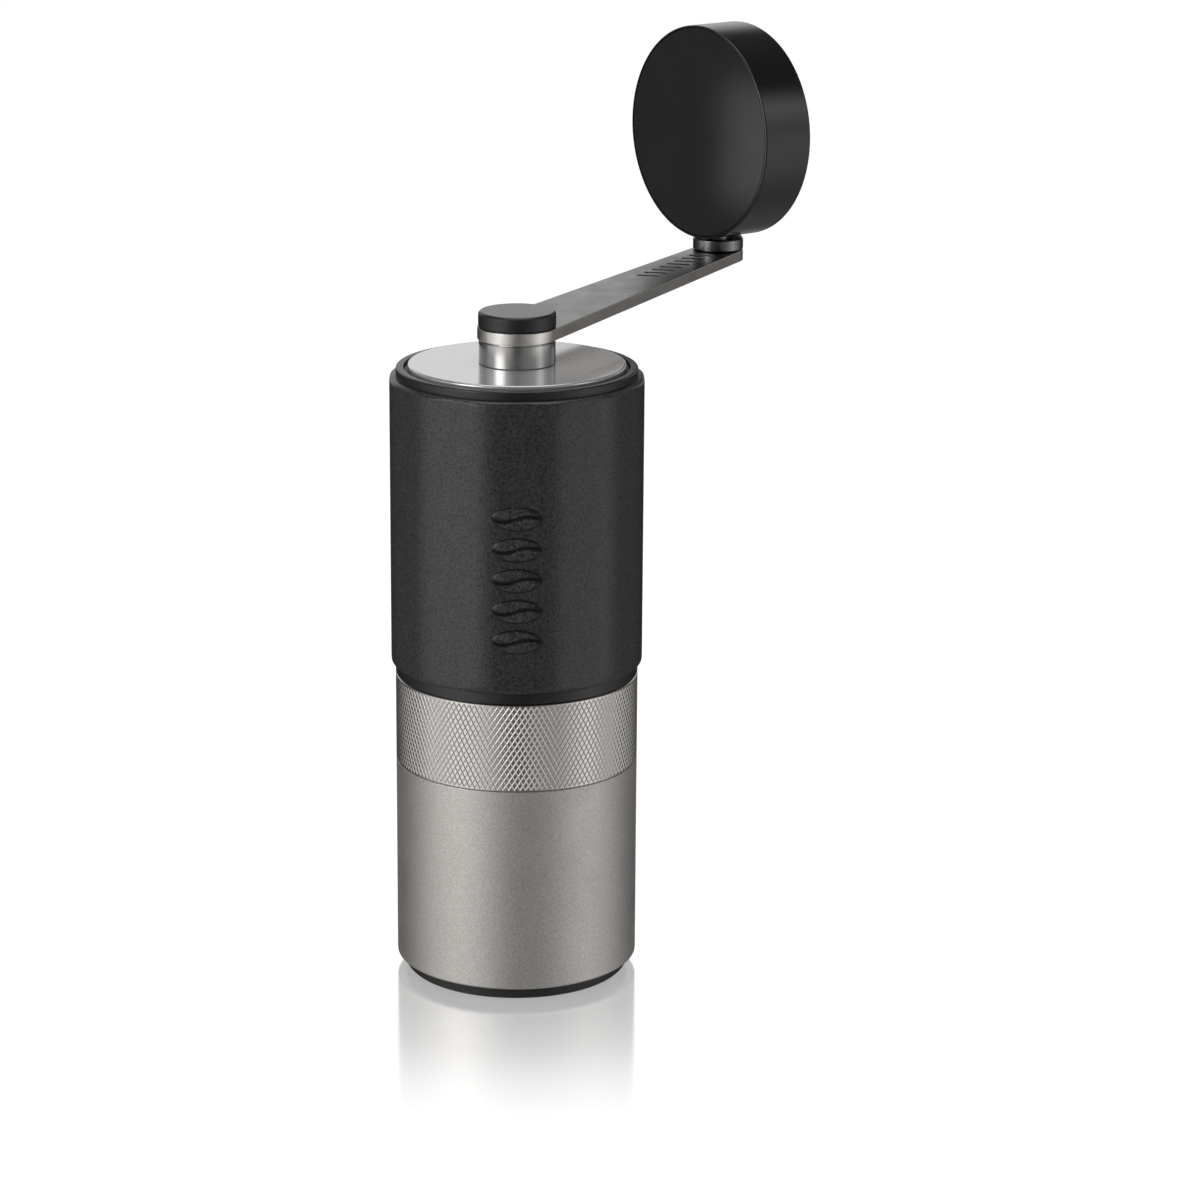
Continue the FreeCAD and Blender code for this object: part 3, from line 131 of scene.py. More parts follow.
def skin(shape, rings, closed):
    """Join rings of points, each a closed loop of the same length, with faces."""
    loops = [[shape.verts.new(point) for point in ring] for ring in rings]
    pairs = list(zip(loops, loops[1:]))
    if closed:
        pairs.append((loops[-1], loops[0]))
    for low, high in pairs:
        for index in range(len(low)):
            follower = (index + 1) % len(low)
            shape.faces.new((low[index], low[follower], high[follower], high[index]))


def turned_mesh(name, corners, place=Matrix.Identity(4), steps=TURNED_STEPS):
    """Spin a closed outline round the Z axis; an outline may touch the axis."""
    outline = rounded(corners)
    angles = [2 * math.pi * index / steps for index in range(steps)]

    def build(shape):
        rings = []
        for across, up in outline:
            ring = [
                place @ (Vector((across * math.cos(a), across * math.sin(a), up)) * MM)
                for a in angles
            ]
            rings.append(ring)
        skin(shape, rings, closed=True)
        bmesh.ops.dissolve_degenerate(shape, dist=1e-8, edges=shape.edges)

    return mesh_from(name, build)


# Materials ------------------------------------------------------------------------


class Paint:
    """A Principled material that is built up node by node."""

    def __init__(self, name, **sockets):
        self.material = bpy.data.materials.new(name)
        self.material.use_nodes = True
        self.nodes = self.material.node_tree.nodes
        self.links = self.material.node_tree.links
        self.shader = self.nodes["Principled BSDF"]
        for socket, value in sockets.items():
            self.shader.inputs[socket.replace("_", " ")].default_value = value

    def node(self, kind, **values):
        """Add a node and set its named inputs and properties."""
        made = self.nodes.new(kind)
        for key, value in values.items():
            if hasattr(made, key):
                setattr(made, key, value)
            else:
                made.inputs[key.replace("_", " ")].default_value = value
        return made

    def place(self, stretch=(1, 1, 1), turn=0.0):
        """Coordinates fixed to the piece, in metres, turned about Z and then stretched."""
        source = self.node("ShaderNodeTexCoord")
        turned = self.node("ShaderNodeVectorRotate", rotation_type="Z_AXIS", Angle=-turn)
        mapping = self.node("ShaderNodeMapping", Scale=stretch)
        self.links.new(source.outputs["Object"], turned.inputs["Vector"])
        self.links.new(turned.outputs["Vector"], mapping.inputs["Vector"])
        return mapping.outputs["Vector"]

    def noise(self, where, scale, detail):
        """Fractal noise from 0 to 1 at the given places."""
        texture = self.node("ShaderNodeTexNoise", Scale=scale, Detail=detail, Roughness=0.6)
        self.links.new(where, texture.inputs["Vector"])
        return texture.outputs["Fac"]

    def spread(self, value, low, high, from_low=0.3, from_high=0.7):
        """Stretch a value's middle range to run from low to high."""
        made = self.node("ShaderNodeMapRange")
        self.links.new(value, made.inputs["Value"])
        made.inputs["From Min"].default_value = from_low
        made.inputs["From Max"].default_value = from_high
        made.inputs["To Min"].default_value = low
        made.inputs["To Max"].default_value = high
        return made.outputs["Result"]

    def times(self, first, second):
        """The product of two values."""
        made = self.node("ShaderNodeMath", operation="MULTIPLY")
        self.links.new(first, made.inputs[0])
        self.links.new(second, made.inputs[1])
        return made.outputs["Value"]

    def axis(self, where, letter):
        """One coordinate, "X", "Y" or "Z", of a place or a direction."""
        made = self.node("ShaderNodeSeparateXYZ")
        self.links.new(where, made.inputs[0])
        return made.outputs[letter]

    def axis_distance(self):
        """Distance from the piece's own Z axis, in metres."""
        made = self.node("ShaderNodeVectorMath", operation="LENGTH")
        self.links.new(self.place((1, 1, 0)), made.inputs[0])
        return made.outputs["Value"]

    def tint(self, value, dark, light):
        """Colour the surface between two shades by a value from 0 to 1."""
        mix = self.node("ShaderNodeMix", data_type="RGBA")
        self.links.new(value, mix.inputs["Factor"])
        mix.inputs[6].default_value = (*dark, 1)
        mix.inputs[7].default_value = (*light, 1)
        self.links.new(mix.outputs[2], self.shader.inputs["Base Color"])

    def vary(self, socket, value):
        """Drive one of the shader's sockets with a value."""
        self.links.new(value, self.shader.inputs[socket])

    def bump(self, height, depth_mm, strength):
        """Give the surface fine relief of the given depth."""
        made = self.node("ShaderNodeBump", Distance=depth_mm * MM, Strength=strength)
        self.links.new(height, made.inputs["Height"])
        self.links.new(made.outputs["Normal"], self.shader.inputs["Normal"])


# Depth below the cap's top where its painted sheen starts, and the rise over which it comes in.
PAINTED_SHEEN_DEPTH = 0.15
PAINTED_SHEEN_EDGE = 0.1
EDGE_SHADE = (0.55, 0.55, 0.55, 1)


def grey(level, warmth=0.0):
    """A grey, warmer when warmth is above 0 and cooler below it."""
    return (level * (1 + warmth), level, level * (1 - warmth))


def blasted_aluminium(name, dark, light, roughness=0.49, crater_depth=0.06):
    """Bead-blasted metal: fine even craters, small glints and a warm grey anodised tone."""
    paint = Paint(name, Metallic=1.0, Specular_Tint=EDGE_SHADE)
    where = paint.place()
    grain = paint.noise(where, 3100, detail=2.0)
    cloud = paint.noise(where, 90, detail=4.0)
    paint.tint(paint.spread(grain, 0, 1), grey(dark, 0.05), grey(light, 0.038))
    paint.vary("Roughness", paint.spread(cloud, roughness, roughness + 0.06))
    paint.bump(grain, crater_depth, strength=0.7)
    return paint.material


def satin_black(name, roughness, gloss=0.5):
    """Black anodised metal: a satin dielectric skin over fine machining grain."""
    paint = Paint(name, Metallic=0.0, Specular_IOR_Level=gloss)
    where = paint.place()
    grain = paint.noise(where, 2600, detail=3.0)
    paint.tint(paint.spread(grain, 0, 1), grey(0.009), grey(0.015))
    paint.vary("Roughness", paint.spread(grain, roughness - 0.03, roughness + 0.03))
    paint.bump(grain, 0.006, strength=0.4)
    return paint.material


def brushed(name, shade, stretch, turn, roughness, depth, painted_top_shade=1.0):
    """Brushed steel: streaks that run along the direction with the small stretch.

    Faces that point up carry a painted shade: their colour keeps only the given share of the sides'
    brightness.
    """
    paint = Paint(name, Metallic=1.0)
    streak = paint.noise(paint.place(stretch, turn), 1.0, detail=4.0)
    smear = paint.noise(paint.place(), 160, detail=2.0)
    level = paint.spread(streak, 0.86, 1.0)
    # Painted shade: faces that point up are coloured darker, standing in for the dimmer light they
    # catch.
    if painted_top_shade < 1:
        facing = paint.axis(paint.node("ShaderNodeTexCoord").outputs["Normal"], "Z")
        level = paint.times(level, paint.spread(facing, 1, painted_top_shade, 0.4, 0.9))
    paint.tint(level, (0, 0, 0), shade)
    paint.vary("Roughness", paint.spread(smear, roughness - 0.03, roughness + 0.04))
    paint.bump(streak, depth, strength=0.6)
    return paint.material


def lid_steel():
    """Satin steel plate, finished with very fine rings round its centre."""
    paint = Paint("lid_steel", Metallic=0.55)
    rings = paint.node("ShaderNodeTexNoise", noise_dimensions="1D", Scale=5200, Detail=3.0)
    paint.links.new(paint.axis_distance(), rings.inputs["W"])
    ring_value = rings.outputs["Fac"]
    cloud = paint.noise(paint.place(), 60, detail=3.0)
    paint.tint(paint.spread(ring_value, 0, 1), grey(0.54, 0.004), grey(0.6, 0.004))
    paint.vary("Roughness", paint.spread(cloud, 0.09, 0.13))
    paint.bump(ring_value, 0.0015, strength=0.5)
    return paint.material


def moulded(name, level, roughness, grain_scale, grain_depth, gloss=0.5, warmth=0.0):
    """Moulded rubber or plastic with an even grain and slightly uneven gloss."""
    paint = Paint(name, Metallic=0.0, Specular_IOR_Level=gloss)
    where = paint.place()
    grain = paint.noise(where, grain_scale, detail=3.0)
    cloud = paint.noise(where, 110, detail=4.0)
    paint.tint(paint.spread(cloud, 0, 1), grey(level * 0.85, warmth), grey(level * 1.15, warmth))
    paint.vary("Roughness", paint.spread(grain, roughness - 0.05, roughness + 0.05))
    paint.bump(grain, grain_depth, strength=0.6)
    return paint.material


def plain_metal(name, shade, roughness):
    """Machined or rolled metal for inner parts, with faint tool marks round the axis."""
    paint = Paint(name, Metallic=1.0)
    marks = paint.noise(paint.place((300, 300, 7000)), 1.0, detail=3.0)
    paint.tint(paint.spread(marks, 0, 1), tuple(c * 0.85 for c in shade), shade)
    paint.vary("Roughness", paint.spread(marks, roughness - 0.04, roughness + 0.05))
    paint.bump(marks, 0.004, strength=0.4)
    return paint.material


def sleeve_silicone(name, light, emblem=False):
    """Matte black silicone with a fine pebbled grain; light is the shade of its high spots.

    On the emblem a painted shade makes the beans' edges and creases black, and only their tops light.
    """
    paint = Paint(name, Metallic=0.0, Specular_IOR_Level=0.45)
    where = paint.place()
    pebble = paint.noise(where, 2300, detail=2.0)
    cloud = paint.noise(where, 110, detail=3.0)
    shade = paint.spread(pebble, 0, 1)
    # Painted shade: on the emblem the colour falls to black towards the beans' edges and creases.
    if emblem:
        foot = SLEEVE_APOTHEM + 0.3 * BEAN_RISE
        top = SLEEVE_APOTHEM + 0.9 * BEAN_RISE
        shade = paint.times(shade, paint.spread(paint.axis(where, "Y"), 1, 0, -top * MM, -foot * MM))
    dark = 0.0 if emblem else 0.008
    paint.tint(shade, grey(dark), grey(light))
    paint.vary("Roughness", paint.spread(cloud, 0.3, 0.35))
    paint.bump(pebble, 0.1, strength=0.7)
    return paint.material


def cap_plastic():
    """Black plastic whose flat top is painted lighter grey, a painted sheen broken up by coarse grain.
    """
    paint = Paint("cap_plastic", Metallic=0.0)
    where = paint.place()
    grain = paint.noise(where, 2600, detail=3.0)
    height = paint.axis(where, "Z")
    painted_sheen_base = CAP_TOP - PAINTED_SHEEN_DEPTH
    # Painted sheen: the cap's flat top is coloured lighter grey, as if lit from above; the grain breaks
    # it up.
    painted_sheen = paint.spread(height, 0, 1, painted_sheen_base * MM, (painted_sheen_base + PAINTED_SHEEN_EDGE) * MM)
    paint.tint(paint.times(painted_sheen, paint.spread(grain, 0.4, 1)), grey(0.012), grey(0.19))
    paint.vary("Roughness", paint.spread(grain, 0.33, 0.41))
    paint.bump(grain, 0.03, strength=0.6)
    return paint.material


STEEL = grey(0.46, 0.016)
ARM_STEEL = grey(0.7, 0.05)
BRASS = (0.72, 0.53, 0.26)

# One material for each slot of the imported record.
MATERIALS = {
    "blasted_aluminium": blasted_aluminium("blasted_aluminium", 0.46, 0.66),
    "black_anodised": satin_black("black_anodised", 0.34),
    "brushed_steel": brushed("brushed_steel", STEEL, (5200, 5200, 120), 0.0, 0.19, 0.0015),
    # The arm's top faces carry a painted shade, at 0.18 of the sides' brightness.
    "arm_steel": brushed("arm_steel", ARM_STEEL, (90, 5200, 300), CRANK_TURN, 0.3, 0.002, 0.18),
    "plain_steel": plain_metal("plain_steel", grey(0.55), 0.25),
    "bearing_steel": plain_metal("bearing_steel", grey(0.62), 0.12),
    "cage_brass": plain_metal("cage_brass", BRASS, 0.24),
    "burr_steel": plain_metal("burr_steel", grey(0.42, 0.01), 0.28),
    "spring_steel": plain_metal("spring_steel", grey(0.5, 0.01), 0.22),
    "sleeve_silicone": sleeve_silicone("sleeve_silicone", 0.062),
    "foot_rubber": moulded("foot_rubber", 0.014, 0.6, 1800, 0.03),
    "seal_rubber": moulded("seal_rubber", 0.02, 0.5, 1500, 0.02),
    "soft_face": moulded("soft_face", 0.012, 0.4, 4200, 0.012, gloss=0.22),
    "black_plastic": moulded("black_plastic", 0.018, 0.45, 2200, 0.02),
    "cap_plastic": cap_plastic(),
    "bush_plastic": moulded("bush_plastic", 0.6, 0.4, 1600, 0.01, warmth=0.04),
    "holder_alloy": plain_metal("holder_alloy", grey(0.5, -0.01), 0.32),
}
# Single pieces that differ from the rest of their slot.
KNURL_METAL = blasted_aluminium("knurl_metal", 0.56, 0.62, 0.22, crater_depth=0.008)
# The emblem's beans carry painted shade in their edges and creases, with lighter tops.
EMBLEM_SILICONE = sleeve_silicone("emblem_silicone", 0.09, emblem=True)
LID_STEEL = lid_steel()
RIM_BLACK = satin_black("rim_black", 0.22, gloss=0.45)
COLLAR_BLACK = plain_metal("collar_black", grey(0.2), 0.18)
MARK_PAINT = moulded("mark_paint", 0.004, 0.8, 3000, 0.01, gloss=0.0)


def paint_cad_nodes():
    """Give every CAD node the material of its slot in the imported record."""
    slots = {}
    for group in frame["record"]["subparts"]:
        slots[group["node"]] = group["material_slot"]
    for name, node in frame["nodes"].items():
        node.data.materials.clear()
        node.data.materials.append(MATERIALS[slots[name]])


# Pieces ---------------------------------------------------------------------------


def make_cup():
    """Cup with softly broken edges, a coved floor and the gasket's ledge."""
    mesh = turned_mesh("cup_shell", [
        (0, 3.65, 0),
        (21.0, 3.65, 0),
        (21.0, CUP_BASE, 0.1),
        (BODY_RADIUS, CUP_BASE, 0.55),
        (BODY_RADIUS, CUP_TOP, 0.28),
        (NECK_RADIUS, CUP_TOP, 0),
        (NECK_RADIUS, NECK_TOP, 0.15),
        (CUP_BORE, NECK_TOP, 0.15),
        (CUP_BORE, NECK_TOP - 1, 0),
        (CUP_BORE - 2, NECK_TOP - 1, 0.1),
        (CUP_BORE - 2, NECK_TOP - 2, 0.1),
        (CUP_BORE, NECK_TOP - 4, 0.5),
        (CUP_BORE, 5.15, 1.8),
        (0, 5.15, 0),
    ])
    add_piece("cup_shell", mesh, "cup", MATERIALS["blasted_aluminium"],
              ["catch_cup"])


# The knurl's groove is half a groove's width as a share of a diamond, and its lean is the
# turn of a column for each millimetre that it rises.
KNURL_CELLS = 136
KNURL_ROWS = 9
KNURL_DEPTH = 0.065
KNURL_LEAN = math.radians(0.15)
KNURL_GROOVE = 0.14
KNURL_INSET = 0.5 - KNURL_GROOVE
KNURL_BORDER = 0.45
THREAD_BORE = 23.75
THREAD_LOW = 53.1
THREAD_HIGH = 65.25
THREAD_LEAD = 7.5
THREAD_STARTS = 3
THREAD_STEPS = 150
THREAD_SECTION = [(0.15, -0.55), (-0.6, -0.35), (-0.6, 0.35), (0.15, 0.55)]


def leaning_point(column, radius, height):
    """A point on the ring, with its column counted in diamonds; columns lean as they rise."""
    angle = 2 * math.pi * column / KNURL_CELLS + KNURL_LEAN * (height - CUP_TOP)
    return Vector((radius * math.cos(angle), radius * math.sin(angle), height)) * MM


def knurl_point(column, row, depth):
    """A point of the knurl, with column and row counted in diamonds."""
    base = CUP_TOP + KNURL_BORDER
    pitch = (KNURL_TOP - KNURL_BORDER - base) / KNURL_ROWS
    return leaning_point(column, BODY_RADIUS - depth, base + row * pitch)


def add_diamond(shape, column, row):
    """One flat-topped diamond with the half grooves round it; its middle is given.

    On the first and the last row it is a half diamond, open where the plain end starts.
    """
    directions = [(-1, 0), (0, -1), (1, 0), (0, 1)]
    sides = 4
    if row == 0:
        directions = [(1, 0), (0, 1), (-1, 0)]
        sides = 2
    if row == KNURL_ROWS:
        directions = [(-1, 0), (0, -1), (1, 0)]
        sides = 2
    outer = [
        shape.verts.new(knurl_point(column + dx * 0.5, row + dy * 0.5, KNURL_DEPTH))
        for dx, dy in directions
    ]
    inner = [
        shape.verts.new(knurl_point(column + dx * KNURL_INSET, row + dy * KNURL_INSET, 0))
        for dx, dy in directions
    ]
    shape.faces.new(inner)
    for index in range(sides):
        follower = (index + 1) % len(directions)
        shape.faces.new((outer[index], outer[follower], inner[follower], inner[index]))


def end_ring(height, radius):
    """A ring with the same columns of points as the knurl's own top and bottom rows."""
    ring = []
    for column in range(KNURL_CELLS):
        for offset in (-0.5, -KNURL_INSET, KNURL_INSET):
            ring.append(leaning_point(column + offset, radius, height))
    return ring


def knurl_edge_ring(row):
    """The points along the knurl's first or last row, in the order of end_ring."""
    ring = []
    for column in range(KNURL_CELLS):
        ring.append(knurl_point(column - 0.5, row, KNURL_DEPTH))
        ring.append(knurl_point(column - KNURL_INSET, row, 0))
        ring.append(knurl_point(column + KNURL_INSET, row, 0))
    return ring


def add_thread_ridge(shape, start):
    """One start of the inner thread: a trapezoid swept along a right-hand helix."""
    rings = []
    for step in range(THREAD_STEPS + 1):
        rise = THREAD_LOW + (THREAD_HIGH - THREAD_LOW) * step / THREAD_STEPS
        angle = 2 * math.pi * (rise / THREAD_LEAD + (start + 0.5) / THREAD_STARTS)
        ring = []
        for out, up in THREAD_SECTION:
            radius = THREAD_BORE + out
            ring.append(Vector((radius * math.cos(angle), radius * math.sin(angle), rise + up)) * MM)
        rings.append(ring)
    skin(shape, rings, closed=False)
    for ring in (rings[0], rings[-1]):
        shape.faces.new([shape.verts.new(point) for point in ring])


def make_knurled_ring():
    """Ring whose grip is cut as real diamonds, with plain ends and the inner thread."""

    def build(shape):
        for row_index in range(KNURL_ROWS * 2 + 1):
            row = row_index / 2
            shift = 0.5 if row_index % 2 else 0.0
            for column in range(KNURL_CELLS):
                add_diamond(shape, column + shift, row)
        skin(shape, [
            knurl_edge_ring(KNURL_ROWS),
            end_ring(KNURL_TOP - 0.2, BODY_RADIUS - 0.03),
            end_ring(KNURL_TOP, BODY_RADIUS - 0.3),
            end_ring(KNURL_TOP, THREAD_BORE),
            end_ring(NECK_TOP, THREAD_BORE),
            end_ring(NECK_TOP, NECK_RADIUS),
            end_ring(CUP_TOP, NECK_RADIUS),
            end_ring(CUP_TOP, BODY_RADIUS - 0.3),
            end_ring(CUP_TOP + 0.2, BODY_RADIUS - 0.03),
            knurl_edge_ring(0),
        ], closed=False)
        for start in range(THREAD_STARTS):
            add_thread_ridge(shape, start)

    mesh = mesh_from("knurl_grip", build, sharp_degrees=8)
    add_piece("knurl_grip", mesh, "cup", KNURL_METAL, ["knurled_ring"])


# A high softness power keeps corners crisp; a low one rounds them.
FACET_SOFTNESS = 48
LIMIT_SOFTNESS = 160
SLEEVE_REACH = 27.42
HEM_HEIGHT = 3.6
HEM_INSET = 1.37
SHOULDER_HEIGHT = 1.5
EDGE_FULLNESS = 2.6


def facet_radius(angle):
    """Radius of the twelve-sided sleeve with soft corners, at an azimuth."""
    step = 2 * math.pi / SLEEVE_FACETS
    offset = (angle + step / 2) % step - step / 2
    total = sum(
        max(0.0, math.cos(offset + turn * step)) ** FACET_SOFTNESS for turn in (-1, 0, 1)
    )
    return SLEEVE_APOTHEM * total ** (-1 / FACET_SOFTNESS)


def sleeve_limit(height):
    """Largest radius the hem and the shoulder leave at a height."""
    hem = max(0.0, 1 - (height - SLEEVE_BASE) / HEM_HEIGHT)
    shoulder = max(0.0, 1 - (SLEEVE_TOP - height) / SHOULDER_HEIGHT)
    hem_inset = HEM_INSET * (1 - math.sqrt(1 - hem ** EDGE_FULLNESS))
    shoulder_inset = SHOULDER_HEIGHT * (1 - math.sqrt(1 - shoulder ** EDGE_FULLNESS))
    return SLEEVE_REACH - hem_inset - shoulder_inset


def sleeve_heights():
    """Heights of the sleeve's rows, closer together at the hem and the shoulder."""
    straight = SLEEVE_TOP - SHOULDER_HEIGHT - SLEEVE_BASE - HEM_HEIGHT
    hem = [SLEEVE_BASE + HEM_HEIGHT * (index / 14) ** 2 for index in range(15)]
    middle = [SLEEVE_BASE + HEM_HEIGHT + straight * index / 30 for index in range(1, 30)]
    shoulder = [SLEEVE_TOP - SHOULDER_HEIGHT * (index / 10) ** 2 for index in range(10, -1, -1)]
    return hem + middle + shoulder


def make_sleeve():
    """Soft sleeve with twelve facets that run into a rounded hem and shoulder."""
    angles = [math.radians(index) for index in range(360)]

    def ring(height):
        limit = sleeve_limit(height)
        points = []
        for angle in angles:
            total = facet_radius(angle) ** -LIMIT_SOFTNESS + limit ** -LIMIT_SOFTNESS
            radius = max(total ** (-1 / LIMIT_SOFTNESS), TUBE_OUTER + 0.3)
            points.append(Vector((radius * math.cos(angle), radius * math.sin(angle), height)) * MM)
        return points

    def bore(height):
        return [
            Vector((TUBE_OUTER * math.cos(a), TUBE_OUTER * math.sin(a), height)) * MM
            for a in angles
        ]

    def build(shape):
        rings = [bore(SLEEVE_BASE)]
        rings += [ring(height) for height in sleeve_heights()]
        rings.append(bore(SLEEVE_TOP))
        skin(shape, rings, closed=True)

    mesh = mesh_from("sleeve_skin", build, sharp_degrees=45)
    add_piece("sleeve_skin", mesh, "housing", MATERIALS["sleeve_silicone"],
              ["grip_sleeve"])


BEAN_COUNT = 5
BEAN_STEP = 6.6
BEAN_MIDDLE = 93.6
BEAN_HALF_WIDTH = 5.2
BEAN_HALF_HEIGHT = 2.65
BEAN_FULLNESS = 7
BEAN_SINK = 0.3
CREASE_SWING = 0.55
CREASE_WIDTH = 0.42
CREASE_SHARE = 0.95


def bean_height(across, up, share):
    """Relief of a bean over the facet: a flat pillow with an S-shaped crease."""
    pillow = BEAN_RISE * (1 - share ** BEAN_FULLNESS)
    crease_line = CREASE_SWING * math.sin(math.pi * across / BEAN_HALF_WIDTH)
    crease = math.exp(-((up - crease_line) / CREASE_WIDTH) ** 2)
    return pillow * (1 - CREASE_SHARE * crease)


def make_beans():
    """Column of raised coffee beans on the front facet."""
    turns = 56
    shares = [0, 0.12, 0.24, 0.36, 0.48, 0.6, 0.7, 0.78, 0.85, 0.9, 0.94, 0.97, 0.99, 1.0]

    def build(shape):
        for index in range(BEAN_COUNT):
            middle = BEAN_MIDDLE + (index - (BEAN_COUNT - 1) / 2) * BEAN_STEP
            rings = []
            for share in shares:
                ring = []
                for turn in range(turns):
                    angle = 2 * math.pi * turn / turns
                    across = BEAN_HALF_WIDTH * share * math.cos(angle)
                    up = BEAN_HALF_HEIGHT * share * math.sin(angle)
                    out = SLEEVE_APOTHEM + bean_height(across, up, share)
                    ring.append(Vector((across, -out, middle + up)) * MM)
                rings.append(ring)
            back = [Vector((p.x, (BEAN_SINK - SLEEVE_APOTHEM) * MM, p.z)) for p in rings[-1]]
            skin(shape, rings + [back], closed=False)
            shape.faces.new([shape.verts.new(point) for point in back])

    mesh = mesh_from("sleeve_beans", build, sharp_degrees=50)
    add_piece("sleeve_beans", mesh, "housing", EMBLEM_SILICONE)


def make_top_ring():
    """Black ring round the lid, with a skirt in the tube's step."""
    mesh = turned_mesh("ring_turned", [
        (24.4, 127.0, 0),
        (TUBE_OUTER, 127.0, 0.1),
        (TUBE_OUTER, SLEEVE_TOP, 0),
        (25.55, SLEEVE_TOP, 0.1),
        (25.55, 133.2, 0.42),
        (23.9, 133.2, 0.25),
        (23.9, SLEEVE_TOP, 0),
        (24.4, SLEEVE_TOP, 0),
    ])
    add_piece("ring_turned", mesh, "housing", MATERIALS["black_anodised"],
              ["top_ring"])


def make_lid_plate():
    """Steel lid plate with a rolled-over rim."""
    mesh = turned_mesh("lid_disc", [
        (7.4, 132.5, 0),
        (23.08, 132.5, 0.15),
        (23.08, 133.9, 0.5),
        (7.4, 133.9, 0.1),
    ])
    add_piece("lid_disc", mesh, "lid", LID_STEEL, ["lid_plate"])


def make_hub_cap():
    """Black cap with a recessed foot, a crowned side and a flat grained top."""
    mesh = turned_mesh("cap_turned", [
        (6.0, ARM_TOP, 0),
        (7.95, ARM_TOP, 0),
        (7.95, ARM_TOP + 0.25, 0),
        (8.2, ARM_TOP + 0.25, 0.12),
        (8.2, CAP_TOP - 0.5, 0.3),
        (7.72, CAP_TOP, 0.35),
        (0, CAP_TOP, 0),
        (0, CAP_TOP - 1.8, 0),
        (6.0, CAP_TOP - 1.8, 0),
    ])
    add_piece("cap_turned", mesh, "crank", MATERIALS["cap_plastic"], ["hub_cap"])


KNOB_AZIMUTH = math.radians(36.67)
KNOB_CENTRE = Vector((46.68, 88.84, 169.3))
KNOB_RADIUS = 24.44
KNOB_THICKNESS = 13.1
KNOB_FACE_RADIUS = 24.0
KNOB_FACE_THICKNESS = 1.2
KNOB_BAND_BORE = 22.4
KNOB_BUSH_RADIUS = 3.6
KNOB_BUSH_TOP = 166.5
KNOB_STEPS = 320


def knob_place():
    """Placement of the knob's disc: its own Z axis lies flat at the knob's azimuth."""
    axis = Vector((math.cos(KNOB_AZIMUTH), math.sin(KNOB_AZIMUTH), 0))
    up = Vector((0, 0, 1))
    side = up.cross(axis)
    turn = Matrix((up, side, axis)).transposed().to_4x4()
    return Matrix.Translation(KNOB_CENTRE * MM) @ turn


def bored(piece, radius, low, high):
    """Cut an upright hole on the knob's own axis out of a piece."""
    cutter_mesh = turned_mesh("bore_cutter", [
        (0, low, 0), (radius, low, 0), (radius, high, 0), (0, high, 0),
    ], Matrix.Translation((KNOB_CENTRE.x * MM, KNOB_CENTRE.y * MM, 0)), steps=64)
    cutter = bpy.data.objects.new("bore_cutter", cutter_mesh)
    bpy.context.scene.collection.objects.link(cutter)
    modifier = piece.modifiers.new("bore", "BOOLEAN")
    modifier.operation = "DIFFERENCE"
    modifier.object = cutter
    graph = bpy.context.evaluated_depsgraph_get()
    result = bpy.data.meshes.new_from_object(piece.evaluated_get(graph))
    piece.modifiers.remove(modifier)
    piece.data = result
    bpy.data.objects.remove(cutter)


def make_knob():
    """Metal rim with soft edges and two soft-touch faces set a hair below it."""
    place = knob_place()
    half = KNOB_THICKNESS / 2
    seat = half - KNOB_FACE_THICKNESS
    rim_mesh = turned_mesh("knob_band", [
        (KNOB_BAND_BORE, -seat, 0),
        (KNOB_FACE_RADIUS, -seat, 0),
        (KNOB_FACE_RADIUS, -half, 0.05),
        (KNOB_RADIUS, -half, 0.35),
        (KNOB_RADIUS, half, 0.35),
        (KNOB_FACE_RADIUS, half, 0.05),
        (KNOB_FACE_RADIUS, seat, 0),
        (KNOB_BAND_BORE, seat, 0),
    ], place, steps=KNOB_STEPS)
    rim = add_piece("knob_band", rim_mesh, "knob", RIM_BLACK, ["knob_rim"])
    bored(rim, KNOB_BUSH_RADIUS, ARM_TOP, KNOB_BUSH_TOP)
    for name, node, side in (("face_front", "knob_face_front", -1), ("face_rear", "knob_face_rear", 1)):
        outer = (half - 0.04) * side
        inner = seat * side
        mesh = turned_mesh(name, [
            (0, inner, 0),
            (KNOB_FACE_RADIUS - 0.05, inner, 0),
            (KNOB_FACE_RADIUS - 0.05, outer, 0.35),
            (0, outer, 0),
        ], place, steps=KNOB_STEPS)
        add_piece(name, mesh, "knob", MATERIALS["soft_face"], [node])


def make_collar():
    """Turned collar between the arm and the knob, with broken edges."""
    top = ARM_TOP + 3
    mesh = turned_mesh("collar_turned", [
        (2.5, ARM_TOP, 0),
        (5.5, ARM_TOP, 0.1),
        (5.83, ARM_TOP + 0.35, 0.15),
        (5.83, top - 0.35, 0.15),
        (5.5, top, 0.1),
        (2.5, top, 0),
    ], Matrix.Translation((KNOB_CENTRE.x * MM, KNOB_CENTRE.y * MM, 0)), steps=120)
    add_piece("collar_turned", mesh, "crank", COLLAR_BLACK, ["knob_collar"])


MARK_COUNT = 8
MARK_START = 63.5
MARK_SPACING = 3.9
MARK_WIDTH = 1.5
MARK_LENGTH = 5.2
MARK_DEPTH = 0.2
MARK_FILLING = 0.08
MARK_GAP = 0.01
MARK_SLANT = math.radians(20)


